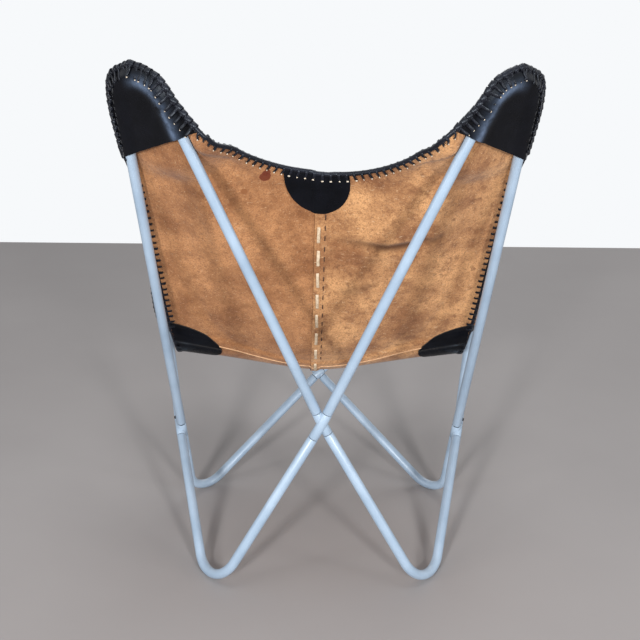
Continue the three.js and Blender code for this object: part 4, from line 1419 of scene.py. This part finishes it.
# %% The four laced edges
across = np.sin(np.linspace(-1, 1, 401) * math.pi / 2)
down = (1 - np.cos(np.linspace(0, 1, 601) * math.pi)) / 2
flat = np.ones(len(across))
rear_laced = np.abs(across) > np.where(across > 0, HEM["left"], HEM["right"])
front_laced = np.abs(across) > 1 - (1 - halves["left"]["front_shoulder"]) * FRONT_REACH
whip_edge("top_lacing", across, flat * 0, across * 0.96, flat * 0.03, rear_laced * 1.0, 11,
          vertical=0.45)
whip_edge("front_lacing", across, flat, across * 0.96, flat * 0.97, front_laced * 1.0, 12)
for hand, side in HANDS.items():
    half = halves[hand]
    share = waist_share(down, half["edge_waist"])
    on_pocket = (share < half["rear_cuff"] * CUFF_REACH) | (share > half["front_cuff"])
    whip_edge(f"side_lacing_{hand}", np.full(len(down), float(side)), down,
              np.full(len(down), side * 0.95), np.clip(down, 0.02, 0.98), on_pocket * 1.0, 13,
              pale=False)

# %% [markdown]
# ## The middle seam's stitches
#
# Eight flat cream thongs hold the lap down the middle of the back, and a row of dark thread runs
# beside them. Both rows repeat along the seam, so the same tree sets them, on points whose outward
# direction is the seam's own. They lie on the right-hand panel, as it is the upper one of the lap.
# The waist lap's cut edge is a thin rolled line, so it is one more tube along a path.

# %% Stitches along the seam
THONGS, THONG_START, THONG_PITCH = 8, 0.122, 0.0505
THREADS, THREAD_START, THREAD_PITCH = 17, 0.0841, 0.0226
THONG_ASIDE, THREAD_LEAN, THREAD_ASIDE, SEAM_STEP = 0.53, 0.0145, 0.01, 0.004
thong_stitch = strap("thong_stitch", [
    (-15.5, -0.9), (-15, 0.5), (-12, 1.5), (12, 1.5), (15, 0.5), (15.5, -0.9)], 5.2, 2.0)
thread_stitch = strap("thread_stitch", [(-5, -0.5), (-4.2, 0.5), (4.2, 0.5), (5, -0.5)], 1.9, 0.9)


def seam_row(name, u, v, shape, material, seed, twist):
    back = sling_back(u, v)
    down_seam = unit(sling(u, v + SEAM_STEP) - sling(u, v - SEAM_STEP))
    lift = folds(u, v) + step_over_middle(u, v) + step_over_waist(u, v) + LEATHER / 2
    places = sling(u, v) + back * lift[:, None]
    spots = [(place, unit(np.cross(one_down, one_back)), one_down, (1, 1, 1))
             for place, one_down, one_back in zip(places, down_seam, back)]
    piece = set_along(name, spots, shape, material, seed, twist)
    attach(piece, "root")
    print(name, len(spots), "stitches")


# %% The waist lap's edge, and the two rows
WAIST_EDGE_R, WAIST_EDGE_LIFT, WAIST_EDGE_REACH, WAIST_EDGE_ABOVE = 1.1, 0.5, 0.7, 0.003
lap_u = np.linspace(-WAIST_EDGE_REACH, WAIST_EDGE_REACH, 90)
lap_v = waist_lap(lap_u) - WAIST_EDGE_ABOVE
lap_lift = folds(lap_u, lap_v) + STEP_UP + LEATHER / 2 + WAIST_EDGE_LIFT
lap_lift = lap_lift + np.where(lap_u < middle_lap(lap_v), step_over_middle(lap_u, lap_v), 0)
lap_line = sling(lap_u, lap_v) + sling_back(lap_u, lap_v) * lap_lift[:, None]
waist_edge = tube_along("waist_lap_edge", lap_line, WAIST_EDGE_R, tan_edge, filed=0.5, sides=8)
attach(waist_edge, "root")

thong_v = THONG_START + THONG_PITCH * np.arange(THONGS)
thread_v = THREAD_START + THREAD_PITCH * np.arange(THREADS)
thong_u = THONG_ASIDE * middle_lap(thong_v)
thread_u = THREAD_LEAN * thread_v - THREAD_ASIDE
seam_row("seam_thongs", thong_u, thong_v, thong_stitch, cream_thong, 5, 0.03)
seam_row("seam_thread", thread_u, thread_v, thread_stitch, dark_thread, 6, 0.05)
for shape in (edge_loop, wing_leg, seat_leg, rope_turn, edge_hole, wing_hole, thong_stitch,
              thread_stitch):
    bpy.data.objects.remove(shape)
